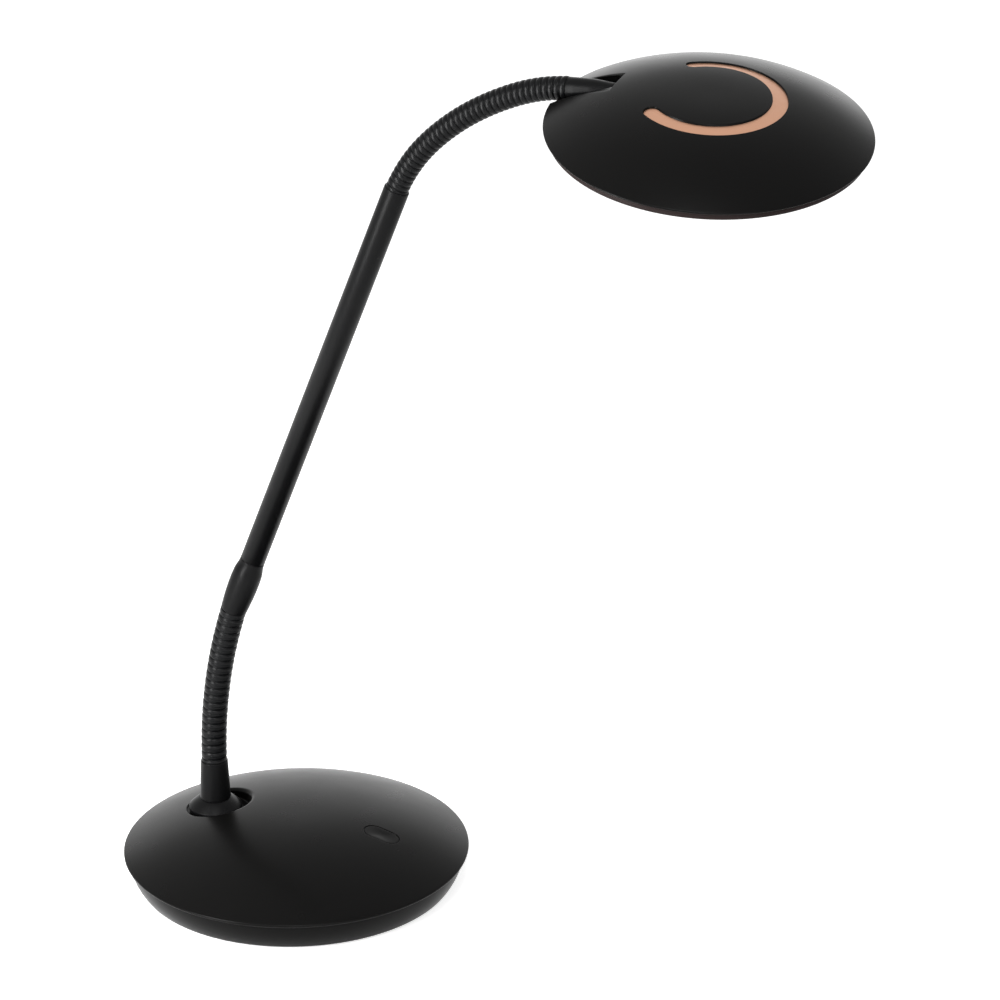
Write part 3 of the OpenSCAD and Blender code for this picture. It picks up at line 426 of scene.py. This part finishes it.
# ---- Non-slip pad, ballast, boards, leads and washers: the parts inside and under the base ----
# Black rubber ring glued under the tray, cast-iron disc, zinc-plated screws, green glass-epoxy
# boards, black moulded switch and inlet bodies, rubber-sheathed leads and natural nylon washers.
dress("pad_rubber", finish("pad_rubber", (0.012, 0.012, 0.012), 0.8, level=0.3, grain=0.6, grain_size=1800))
dress("ballast_iron", finish("ballast_iron", (0.16, 0.16, 0.165), 0.6,
                             metal=0.8, grain=1.0, grain_size=900, vary=0.1))
dress("screw_steel", finish("zinc_steel", (0.58, 0.59, 0.61), 0.35, metal=1.0, vary=0.06, vary_size=600))
dress("circuit_board", finish("solder_mask", (0.02, 0.14, 0.06), 0.35, vary=0.05, vary_size=200))
dress("dark_plastic", finish("dark_plastic", (0.01, 0.01, 0.011), 0.5, level=0.3, grain=0.3))
dress("lead_sheath", finish("lead_sheath", (0.02, 0.02, 0.021), 0.5, level=0.3, grain=0.2, grain_size=2500))
dress("washer_plastic", finish("nylon", (0.8, 0.79, 0.75), 0.5, grain=0.1))


# ---- Switch button: a pill-shaped black cap, very slightly dished and flush with the dome ----
# A flange inside the base keeps it in, and the peg under it presses the small switch below.
centre_point = np.tile([pill_x, 0.0], (len(toward_pill), 1))
cap_sink, cap_dish, cap_edge = 0.2, 0.35, 0.35
cap = [with_z(centre_point, dome(pill_x, 0) - cap_sink - cap_dish)]
side_ring = pill_ring(-cap_edge)
for s in np.linspace(0, 1, 14)[1:]:
    ring = centre_point + s * (side_ring - centre_point)
    cap.append(with_z(ring, dome(*ring.T) - cap_sink - cap_dish * (1 - s ** 2) ** 2))
for a in quarter(7)[1:]:
    ring = pill_ring(cap_edge * (math.sin(a) - 1))
    cap.append(with_z(ring, dome(*ring.T) - cap_sink - cap_edge * (1 - math.cos(a))))
flange, flange_top, flange_low, peg_r, peg_low = 1.2, 26.3, 25.3, 2.5, 25.1
for grow, z in ((0, 26.6), (0, flange_top), (flange, flange_top), (flange, flange_low)):
    cap.append(with_z(pill_ring(grow), z))
peg = centre_point + toward_pill * peg_r
cap += [with_z(peg, flange_low), with_z(peg, peg_low), with_z(centre_point, peg_low)]
button = skin("pill_button", [cap], satin_black)
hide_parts("power_button")
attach(button, "switch_button")


# ---- Swivel foot: a turned steel disc, painted black, that flares up to the boot ----
# The foot turns in the base's pocket; the tapered boot slides over its stem, and a thin collar ends it.
def joint(name):
    """Place of a joint, in millimetres."""
    return np.array(next(j["pos_m"] for j in frame["joints"] if j["name"] == name)) * 1000


def rounded(points, radii, steps=6, guard=0.12):
    """A closed outline (r, z) with each corner turned into an arc, and a point just before and after it."""
    count, out = len(points), []
    for i in range(count):
        p = np.array(points[i], float)
        a, b = np.array(points[i - 1], float) - p, np.array(points[(i + 1) % count], float) - p
        la, lb = np.linalg.norm(a), np.linalg.norm(b)
        if radii[i] <= 0:
            out.append(p)
            continue
        a, b = a / la, b / lb
        half = math.acos(max(-1, min(1, float(a @ b)))) / 2
        reach = min(radii[i] / math.tan(half), 0.45 * la, 0.45 * lb)
        radius = reach * math.tan(half)
        centre = p + (a + b) / np.linalg.norm(a + b) * radius / math.sin(half)
        first, last = p + a * reach - centre, p + b * reach - centre
        if la > reach + 2.5 * guard:
            out.append(p + a * (reach + guard))
        bend = math.pi - 2 * half
        for t in np.linspace(0, 1, steps + 1):
            mix = first * math.sin((1 - t) * bend) + last * math.sin(t * bend)
            out.append(centre + mix / math.sin(bend))
        if lb > reach + 2.5 * guard:
            out.append(p + b * (reach + guard))
    return np.array(out)


black_paint = finish("black_paint", (0.0028, 0.0028, 0.0030), 0.36,
                     level=0.08, grain=0.08, grain_size=3500, vary=0.02)
dress("black_metal", black_paint)

lower_joints = [joint(f"lower_{'sway' if i % 2 else 'bend'}_{i // 2 + 1}") for i in range(9)]
foot, straight_up = lower_joints[0] * (1, 1, 0), (0, 0, 1)

# Outlines are pairs of radius and height. The flare rises as 1 - (1 - t)^1.25 while it narrows evenly.
bore_r, stem_r, stem_top, disc_r, disc_low, disc_top = 2.6, 5.0, 50.0, 13.9, 28.9, 31.3
boot_low, boot_top = 36.0, 57.3
flare = [(disc_r - 5.8 * t, disc_top + 4.7 * (1 - (1 - t) ** 1.25)) for t in np.linspace(0.05, 1, 14)]
hub_outline = [(bore_r, 16.9), (6.4, 16.9), (6.4, 20.9), (8.0, 20.9), (8.0, disc_low)]
disc_edge = rounded([(13.0, disc_low), (disc_r, disc_low), (disc_r, disc_top), (13.6, 31.6)],
                    [0, 0.4, 0.5, 0])
stem = [(stem_r, boot_low), (stem_r, stem_top), (bore_r, stem_top)]
hub_outline = np.vstack([hub_outline, disc_edge, flare[1:], stem])
hub = turned("swivel_disc", hub_outline, black_paint, foot, straight_up)
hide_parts("swivel_hub")
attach(hub, "swivel_foot")

boot_outline = rounded([(5.02, boot_low), (8.1, boot_low), (7.05, boot_top),
                        (6.2, boot_top), (6.2, stem_top), (5.02, stem_top)],
                       [0, 0.35, 0.5, 0, 0, 0])
boot = turned("tapered_boot", boot_outline, black_paint, foot, straight_up)
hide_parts("neck_boot")
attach(boot, "swivel_foot")

collar_outline = rounded([(bore_r, stem_top), (6.15, stem_top), (6.15, boot_top),
                          (6.5, boot_top), (6.5, 57.9), (bore_r, 57.9)],
                         [0, 0, 0, 0.1, 0.25, 0])
collar = turned("neck_collar", collar_outline, black_paint, foot, straight_up)
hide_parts("lower_neck_fitting")
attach(collar, "swivel_foot")


# ---- Flexible necks: two lengths of black plastic-coated steel hose, which stay where they are bent ----
# The ribs are the turns of the hose's strip, and its ends are pressed into the boot, sleeve, tube and head.
# It is made here in lengths that reach from the middle of one link to the middle of the next.
def ribs(s, pitch, crest, swell, notch, seam):
    """Radius along the hose: from the crest, round ribs fall as the square of the way to a sharp notch.

    swell is the rib's height, notch the depth of the line between two ribs, about 0.3 mm wide, and
    seam that of a faint line halfway, about 0.22 mm wide.
    """
    share = (s / pitch) % 1
    gap = np.minimum(share, 1 - share) * pitch
    ridge = crest - swell * (1 - 2 * share) ** 2
    groove_line, seam_line = np.exp(-(gap / 0.3) ** 2), np.exp(-((pitch / 2 - gap) / 0.22) ** 2)
    return ridge - notch * groove_line - seam * seam_line


def hose(name, a, corner, b, s_a, s_b, form, bore, rows_per_rib=26, columns=96):
    """A ribbed tube along the parabola from a to b whose end tangents meet at the corner.

    s_a and s_b are its ends in millimetres of hose, and form holds what ribs takes after s.
    """
    count = max(8, int(round((s_b - s_a) / form[0] * rows_per_rib)))
    t = np.linspace(0, 1, count + 1)[:, None]
    path = (1 - t) ** 2 * a + 2 * t * (1 - t) * corner + t ** 2 * b
    slope = 2 * (1 - t) * (corner - a) + 2 * t * (b - corner)
    slope /= np.linalg.norm(slope, axis=1)[:, None]
    gone = np.concatenate([[0], np.cumsum(np.linalg.norm(np.diff(path, axis=0), axis=1))])
    s = s_a + (s_b - s_a) * gone / gone[-1]
    across = np.array([0.0, 1.0, 0.0]) - slope * slope[:, 1:2]
    across /= np.linalg.norm(across, axis=1)[:, None]
    upward = np.cross(across, slope)
    angle = np.linspace(0, 2 * math.pi, columns + 1)[None, :, None]
    ring = across[:, None, :] * np.cos(angle) + upward[:, None, :] * np.sin(angle)
    ring[:, -1] = ring[:, 0]
    outer = path[:, None] + ring * ribs(s, *form)[:, None, None]
    inner = path[::-1][:, None] + ring[::-1] * bore
    return skin(name, [np.concatenate([outer, inner, outer[:1]])], neck_black)


def neck(name, joints, link, start_along, start_gap, form, bore):
    """The hose of one neck, cut at the middle of each link, each length bending across one joint.

    link is the way from one joint to the next. The hose starts start_gap before the first joint, in
    direction start_along, and ends just past the last one. A length's bend starts and ends a little
    inside its two cuts.
    """
    last = len(joints) - 1
    for i, corner in enumerate(joints):
        a = (joints[i - 1] + corner) / 2 if i else corner - start_along * start_gap
        b = (corner + joints[i + 1]) / 2 if i < last else corner + (corner - joints[i - 1]) / link * 0.02
        s_a = (i - 0.5) * link if i else -start_gap
        s_b = (i + 0.5) * link if i < last else i * link
        piece = hose(f"{name}_hose_{i + 1}", a, corner, b, s_a, s_b, form, bore)
        if i < last:
            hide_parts(f"{name}_neck_link_{i + 1}")
        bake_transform(piece)


neck_black = finish("neck_black", (0.0024, 0.0025, 0.0028), 0.30,
                    level=0.11, grain=0.08, grain_size=2500, vary=0.04, vary_size=150)
dress("neck_black", neck_black)

upper_joints = [joint(f"upper_{'sway' if i % 2 else 'bend'}_{i // 2 + 1}") for i in range(13)]
arm_from, arm_to = lower_joints[-1], upper_joints[0]
arm_along = (arm_to - arm_from) / np.linalg.norm(arm_to - arm_from)
lower_link, upper_link = 10.93, 9.06

# Each form is the ribs' pitch, the radius of their crest, their height, and the depths of notch and seam.
lower_form = (4.2, 6.70, 0.26, 0.38, 0.07)
upper_form = (upper_link / 3, 5.75, 0.34, 0.30, 0.0)
neck("lower", lower_joints, lower_link,
     start_along=np.array(straight_up), start_gap=1.4, form=lower_form, bore=4.6)
neck("upper", upper_joints, upper_link,
     start_along=arm_along, start_gap=1.5, form=upper_form, bore=3.6)


# ---- Coupling sleeve and arm tube: a swollen metal ferrule pressed over a rigid steel tube ----
# Both are painted black. The tube's open edge at the top is rounded over, and a turned plug in it
# takes the upper neck.
tube_r, tube_from, sleeve_long, sleeve_mid, sleeve_r = 6.3, 12.0, 32.0, 18, 7.65


def sleeve_radius(s):
    """A long parabolic swell, thickest at 18 mm, then a soft shoulder from 24.2 mm to the tube at 32 mm.

    The shoulder mixes the swell with the tube's radius by the smooth step t * t * (3 - 2 * t).
    """
    before_mid = sleeve_r - 0.98 * ((s - sleeve_mid) / sleeve_mid) ** 2
    swell = np.where(s < sleeve_mid, before_mid, sleeve_r - 0.0066 * (s - sleeve_mid) ** 2)
    t = np.clip((s - 24.2) / 7.8, 0, 1)
    return swell + (tube_r + 0.03 - swell) * t * t * (3 - 2 * t)


s = np.linspace(0.0, sleeve_long, 60)
sleeve_outline = [(5.0, 0), (6.25, 0)] + [(float(r), float(h)) for r, h in zip(sleeve_radius(s), s)][1:]
sleeve_outline += [(tube_r, sleeve_long), (tube_r, tube_from), (5.0, tube_from)]
sleeve = turned("arm_sleeve", sleeve_outline, black_paint, arm_from, arm_along)
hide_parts("coupling_sleeve")
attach(sleeve, "arm")

tube_outline = rounded([(4.9, tube_from), (tube_r, tube_from), (tube_r, 254.6), (4.9, 254.6)],
                       [0, 0, 1.0, 0.15], steps=10)
tube = turned("arm_tube_skin", tube_outline, black_paint, arm_from, arm_along)
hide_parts("arm_tube")
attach(tube, "arm")

plug_outline = rounded([(2.6, 240.6), (4.88, 240.6), (4.88, 254.4), (2.6, 254.4)], [0, 0, 0.1, 0])
plug = turned("tube_plug", plug_outline, black_paint, arm_from, arm_along, columns=96)
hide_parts("upper_neck_fitting")
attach(plug, "arm")


# ---- Neck end: a smooth turned metal end, painted black, that narrows where it enters the head ----
# Its turned-down axle goes on through the slot's end wall into the clamp.
end_from, head_joint = upper_joints[-1], joint("head_roll")
end_along = (head_joint - end_from) / np.linalg.norm(head_joint - end_from)
t = np.linspace(0, 1, 14)
taper_r, taper_h = 5.35 - 0.95 * t ** 2 * (3 - 2 * t), 11.5 + 12.0 * t
end_outline = [(2.0, 0.02), (5.1, 0.02), (5.3, 0.1), (5.35, 0.25), (5.35, 5.0)]
end_outline += list(zip(taper_r, taper_h))
end_outline += [(4.3, 23.8), (4.1, 24.0), (3.0, 24.05), (3.0, 39.2), (2.0, 39.2)]
end_outline = np.array(end_outline, float)
neck_end = turned("neck_end_skin", end_outline, black_paint, end_from, end_along)
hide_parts("neck_end")
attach(neck_end, "neck_end")


# ---- Head cover: a shallow dome over the whole head, moulded in black ABS ----
# It is open in a slot where the neck end comes in, and the slot's edges are rolled over. A C-shaped
# groove with round ends goes round its middle and holds the copper strip. The rim has a round nose.
head_rim_r, head_rise, head_power, head_wall, head_inner_r = 76.5, 20.0, 2.5, 1.9, 71.4
groove_mid, groove_half, groove_end, groove_depth = 31.85, 3.65, math.radians(53.58), 1.72
slot_lip, slot_end, slot_half, fan_r = 0.35, 46.5, 9.25, 37.0
edge_x, edge_y = slot_end - slot_lip, slot_half + slot_lip
corner_r = math.hypot(edge_x, edge_y)
axle_height, axle_slope = 8.4, 8.4


def turn(axis, degrees):
    """Rotation about the x, y or z axis, numbered 0 to 2."""
    c, s = math.cos(math.radians(degrees)), math.sin(math.radians(degrees))
    i, j = (axis + 1) % 3, (axis + 2) % 3
    matrix = np.eye(3)
    matrix[i, i], matrix[j, j], matrix[i, j], matrix[j, i] = c, c, -s, s
    return matrix


# The axle's yaw and pitch come first, then the head's roll about it, and last the axle's slope in the head.
axle_yaw, axle_pitch, head_roll = -2.5, -1.8, 10.85
head_turn = turn(2, axle_yaw) @ turn(1, axle_pitch) @ turn(0, head_roll) @ turn(1, axle_slope)
head_at = head_joint + head_turn @ np.array([slot_end, 0, -axle_height])


def on_head(grid):
    """From the head's own frame, centred on its rim plane, to the lamp's."""
    return np.asarray(grid, float) @ head_turn.T + head_at


def head_dome(r):
    """Height above the rim plane: 20 mm at the centre, falling as (r / 76.5)^2.5."""
    return head_rise * (1 - (np.maximum(r, 0) / head_rim_r) ** head_power)


def groove(x, y):
    """How far a point lies inside the groove: a ring of half width 3.65 mm that ends in half circles."""
    away = np.abs(np.arctan2(y, -x))
    end_x, end_y = -groove_mid * math.cos(groove_end), groove_mid * math.sin(groove_end)
    along_ring = groove_half - np.abs(np.hypot(x, y) - groove_mid)
    round_end = groove_half - np.hypot(x - end_x, np.abs(y) - end_y)
    return np.where(away >= groove_end, along_ring, round_end)


def cover_z(x, y):
    """The dome, let down inside the groove: over a lip 0.34 mm wide it falls by 1 - sqrt(1 - t^2.6)."""
    t = np.clip((groove(x, y) + 0.22) / 0.34, 0, 1)
    return head_dome(np.hypot(x, y)) - groove_depth * (1 - np.sqrt(1 - t ** 2.6))


def spread(stops, gap):
    """Values through all stops, evenly between them and at most gap apart."""
    out = [stops[0]]
    for a, b in zip(stops[:-1], stops[1:]):
        n = max(1, int(math.ceil((b - a) / gap)))
        out += list(a + (b - a) * np.arange(1, n + 1) / n)
    return np.array(out)


def polar(r, psi):
    """Point at radius r, at an angle from the slot's middle line."""
    return -r * np.cos(psi), r * np.sin(psi)


def slot_angle(r):
    """Half angle of the slot's edges seen from the centre, at radius r."""
    return np.arcsin(edge_y / np.maximum(r, fan_r))


# Columns are evenly spread, and close together across the groove's two round ends.
full_edge = math.asin(edge_y / fan_r)
end_stops = (np.radians(np.arange(46.3, 54.5, 0.2)) - full_edge) / (2 * math.pi - 2 * full_edge)
share = spread([0.0] + list(end_stops) + list(1 - end_stops[::-1]) + [1.0], 0.0052)[None, :]
gap_share = np.linspace(-1, 1, 25)[None, :]


def main(r):
    """Angles of the large part of the head, which reaches round from one edge of the slot to the other."""
    return slot_angle(r) + share * (2 * math.pi - 2 * slot_angle(r))


def fan(r, height):
    """The small part between the centre and the slot: arcs up to fan_r, then rows that straighten out.

    Past fan_r each point moves from its arc to the slot's short edge, evenly with the radius.
    """
    r = np.asarray(r, float)[:, None]
    psi = slot_angle(r) * gap_share
    x, y = polar(r, psi)
    k = np.clip((r - fan_r) / (corner_r - fan_r), 0, 1)
    inner = np.s_[:, 1:-1]
    x[inner] = ((1 - k) * x - k * edge_x)[inner]
    y[inner] = ((1 - k) * y + k * gap_share * edge_y)[inner]
    return np.stack([x, y, height(x, y)], -1)


def sheet(r, height):
    """The large part as a grid of the given radii, at the height given by a function of x and y."""
    x, y = polar(np.asarray(r)[:, None], main(np.asarray(r)[:, None]))
    return np.stack([x, y, height(x, y)], -1)


def under(x, y):
    """Inside face of the dome."""
    return head_dome(np.hypot(x, y)) - head_wall


# Rows stand close together across the groove, from 27.8 to 35.9 mm.
groove_rows = np.arange(27.8, 35.9, 0.13)
head_crown_r, nose_r, nose_x, nose_drop = 76.225, 0.55, 75.95, 0.4763
radii = np.concatenate([spread([0.0, 4.0, 27.8], 1.6), groove_rows,
                        spread([36.0, fan_r, corner_r, 75.6, head_crown_r], 1.4)])
radii = np.unique(np.round(radii, 6))
top_main, top_fan = sheet(radii, cover_z), fan(radii[radii <= corner_r + 1e-5], cover_z)
under_radii = np.concatenate([np.linspace(head_inner_r, corner_r, 8),
                              np.linspace(corner_r, fan_r, 4)[1:], np.linspace(fan_r, 0, 10)[1:]])
under_main, under_fan = sheet(under_radii, under), fan(under_radii[under_radii <= corner_r + 1e-5], under)

rim_z = float(head_dome(head_crown_r))
rim_profile = [(head_crown_r, rim_z)]
rim_profile += [(nose_x + nose_r * math.cos(a), rim_z - nose_drop + nose_r * math.sin(a))
                for a in np.radians(np.linspace(45, -90, 10))]
low_z = rim_profile[-1][1]
rim_profile += [(75.8, low_z), (71.6, low_z), (head_inner_r, low_z)]
rim_profile += [(head_inner_r, float(head_dome(head_inner_r)) - head_wall)]
rim_grid = np.array([sheet([r], lambda x, y: np.full(x.shape, z))[0] for r, z in rim_profile])

# The slot's long edge in section, from its corner out over the rim and back underneath, and the
# direction into the wall at each of its points.
edge_rows = np.vstack([top_main[radii >= corner_r - 1e-5][:, 0], rim_grid[1:, 0],
                       under_main[1:, 0][under_radii[1:] >= corner_r - 1e-9]])
here = np.arange(len(edge_rows))
run = edge_rows[np.minimum(here + 1, here[-1])] - edge_rows[np.maximum(here - 1, 0)]
inward = np.stack([run[:, 2], np.zeros(len(run)), -run[:, 0]], 1)
inward /= np.maximum(np.hypot(inward[:, 0], inward[:, 2]), 1e-9)[:, None]


def long_edge(side):
    """Rolls the slot's long edge over by the lip radius, in a quarter circle, on the given side."""
    out = []
    for a in np.linspace(0, math.pi / 2, 6):
        across = np.array([0, -side * slot_lip * math.sin(a), 0])
        moved = edge_rows * (1, side, 1) + across - inward * slot_lip * (1 - math.cos(a))
        moved[0, 0] -= slot_lip * math.sin(a)
        out.append(moved)
    return np.array(out)


def short_edge():
    """Rolls the slot's short edge over in the same way, between the long ones."""
    out = []
    for k, a in enumerate(np.linspace(0, math.pi / 2, 6)):
        moved = top_fan[-1] + np.array([-slot_lip * math.sin(a), 0, -slot_lip * (1 - math.cos(a))])
        moved[0], moved[-1] = (long_edge(math.copysign(1, moved[i, 1]))[k][0] for i in (0, -1))
        out.append(moved)
    return np.array(out)


grids = [top_main, top_fan, rim_grid, under_main, under_fan, long_edge(1), long_edge(-1), short_edge()]
head_cover = skin("head_dome", [on_head(g) for g in grids], satin_black, fill=True)
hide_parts("head_cover")
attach(head_cover, "head")


# ---- Slot trough: the moulded black walls and floor inside the head's slot ----
# They keep dust out and carry the bearing for the neck end. Their black is painted shade: darker and duller than
# the cover's, so that the slot's inside looks shadowed in any light.
def box_grid(low, high):
    """The six faces of a box, as one grid that is closed at the middle of its floor and its top."""
    (x0, y0, z0), (x1, y1, z1) = low, high
    ring = [(x0, y0), (x1, y0), (x1, y1), (x0, y1), (x0, y0)]
    floor, top = ((x0 + x1) / 2, (y0 + y1) / 2, z0), ((x0 + x1) / 2, (y0 + y1) / 2, z1)
    return np.array([[floor] * 5, [(*p, z0) for p in ring], [(*p, z1) for p in ring], [top] * 5])


# The floor runs along the sloping axle, 6.17 mm below it, and the walls stop 1 mm below the dome.
trough_out, trough_thick, trough_drop, under_dome = 10.7, 0.5, 6.17, 1.0
x = np.linspace(-slot_end, -70.4, 20)
low = axle_height + math.tan(math.radians(axle_slope)) * (x + slot_end) - trough_drop
high_in = head_dome(np.hypot(x, slot_half)) - under_dome
high_out = head_dome(np.hypot(x, trough_out)) - under_dome
section = [(-trough_out, low - trough_thick), (trough_out, low - trough_thick),
           (trough_out, high_out), (slot_half, high_in), (slot_half, low),
           (-slot_half, low), (-slot_half, high_in), (-trough_out, high_out),
           (-trough_out, low - trough_thick)]
loops = np.stack([np.stack([x, np.full(len(x), y), z], -1) for y, z in section], 1)
end_wall = box_grid((-slot_end, -trough_out, low[0] - trough_thick), (-45.1, trough_out, 12.6))
# Painted shade: a darker, less glossy black than the cover's, standing in for the shade inside the slot.
slot_shade_black = finish("shade_black_plastic", (0.002, 0.002, 0.002), 0.6, level=0.04)
trough = skin("slot_trough", [on_head(loops), on_head(end_wall)], slot_shade_black, fill=True)
trough.data.polygons.foreach_set("use_smooth", [False] * len(trough.data.polygons))
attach(trough, "head")


# ---- Copper strip: a C of thin satin copper-coloured metal with round ends, let into the groove ----
# It is clipped in from above and lies a little below the dome, so that the groove's black wall
# shows round it.
copper = finish("satin_copper", (0.57, 0.31, 0.20), 0.38,
                metal=0.85, grain=0.1, grain_size=2500, vary=0.06, vary_size=220)
dress("copper", copper)

strip_half, strip_top, strip_low = 3.57, -0.9, -1.3
lean = np.radians(np.linspace(-90, 90, 25))[:, None]
r = groove_mid + strip_half * np.sin(lean)
half = math.pi - groove_end + strip_half * np.cos(lean) / groove_mid
angle = np.linspace(-1, 1, 220)[None, :] * half
strip_face = np.stack([r * np.cos(angle), r * np.sin(angle), head_dome(r) + 0 * angle], -1)
face, seat = strip_face + (0, 0, strip_top), strip_face + (0, 0, strip_low)
walls = [np.stack([face[i], seat[i]]) for i in (0, -1)]
walls += [np.stack([face[:, i], seat[:, i]]) for i in (0, -1)]
strip = skin("copper_strip", [on_head(g) for g in [face, seat] + walls], copper)
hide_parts("copper_inlay")
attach(strip, "head")


# ---- Bezel ring: the black moulded ring under the head's rim, which holds the diffuser on its ledge ----
# It stands a little inside the dome's nose, so that a thin shadow line parts them.
bezel_top, bezel_low, ledge, opening_r, seat_r = low_z, -4.75, -3.45, 64.0, 66.8
bezel_outline = rounded([(opening_r, bezel_low), (74.3, bezel_low), (75.0, bezel_top),
                         (seat_r, bezel_top), (seat_r, ledge), (opening_r, ledge)],
                        [0.3, 1.0, 0, 0, 0, 0])
bezel_black = finish("bezel_plastic", (0.020, 0.014, 0.0135), 0.5, level=0.06, grain=0.1)
bezel = turned("bezel", bezel_outline, bezel_black, head_at, head_turn[:, 2], columns=256)
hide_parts("bezel_ring")
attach(bezel, "head")


# ---- Light engine: aluminium plate, LEDs on their ring-shaped board, reflector and diffuser ----
# The plate spreads the heat and is screwed under the cover. The reflector is matt white plastic, and
# the bezel ring holds the milky acrylic disc.
dress("plate_aluminium", finish("plain_aluminium", (0.76, 0.77, 0.78), 0.4,
                                metal=1.0, vary=0.06, vary_size=120))
dress("led_yellow", finish("phosphor", (0.85, 0.68, 0.22), 0.5, grain=0.3, grain_size=9000))
dress("reflector_white", finish("matt_white", (0.88, 0.88, 0.86), 0.55, grain=0.1))
dress("opal", finish("opal", (0.88, 0.88, 0.87), 0.42, grain=0.08, vary=0.04))
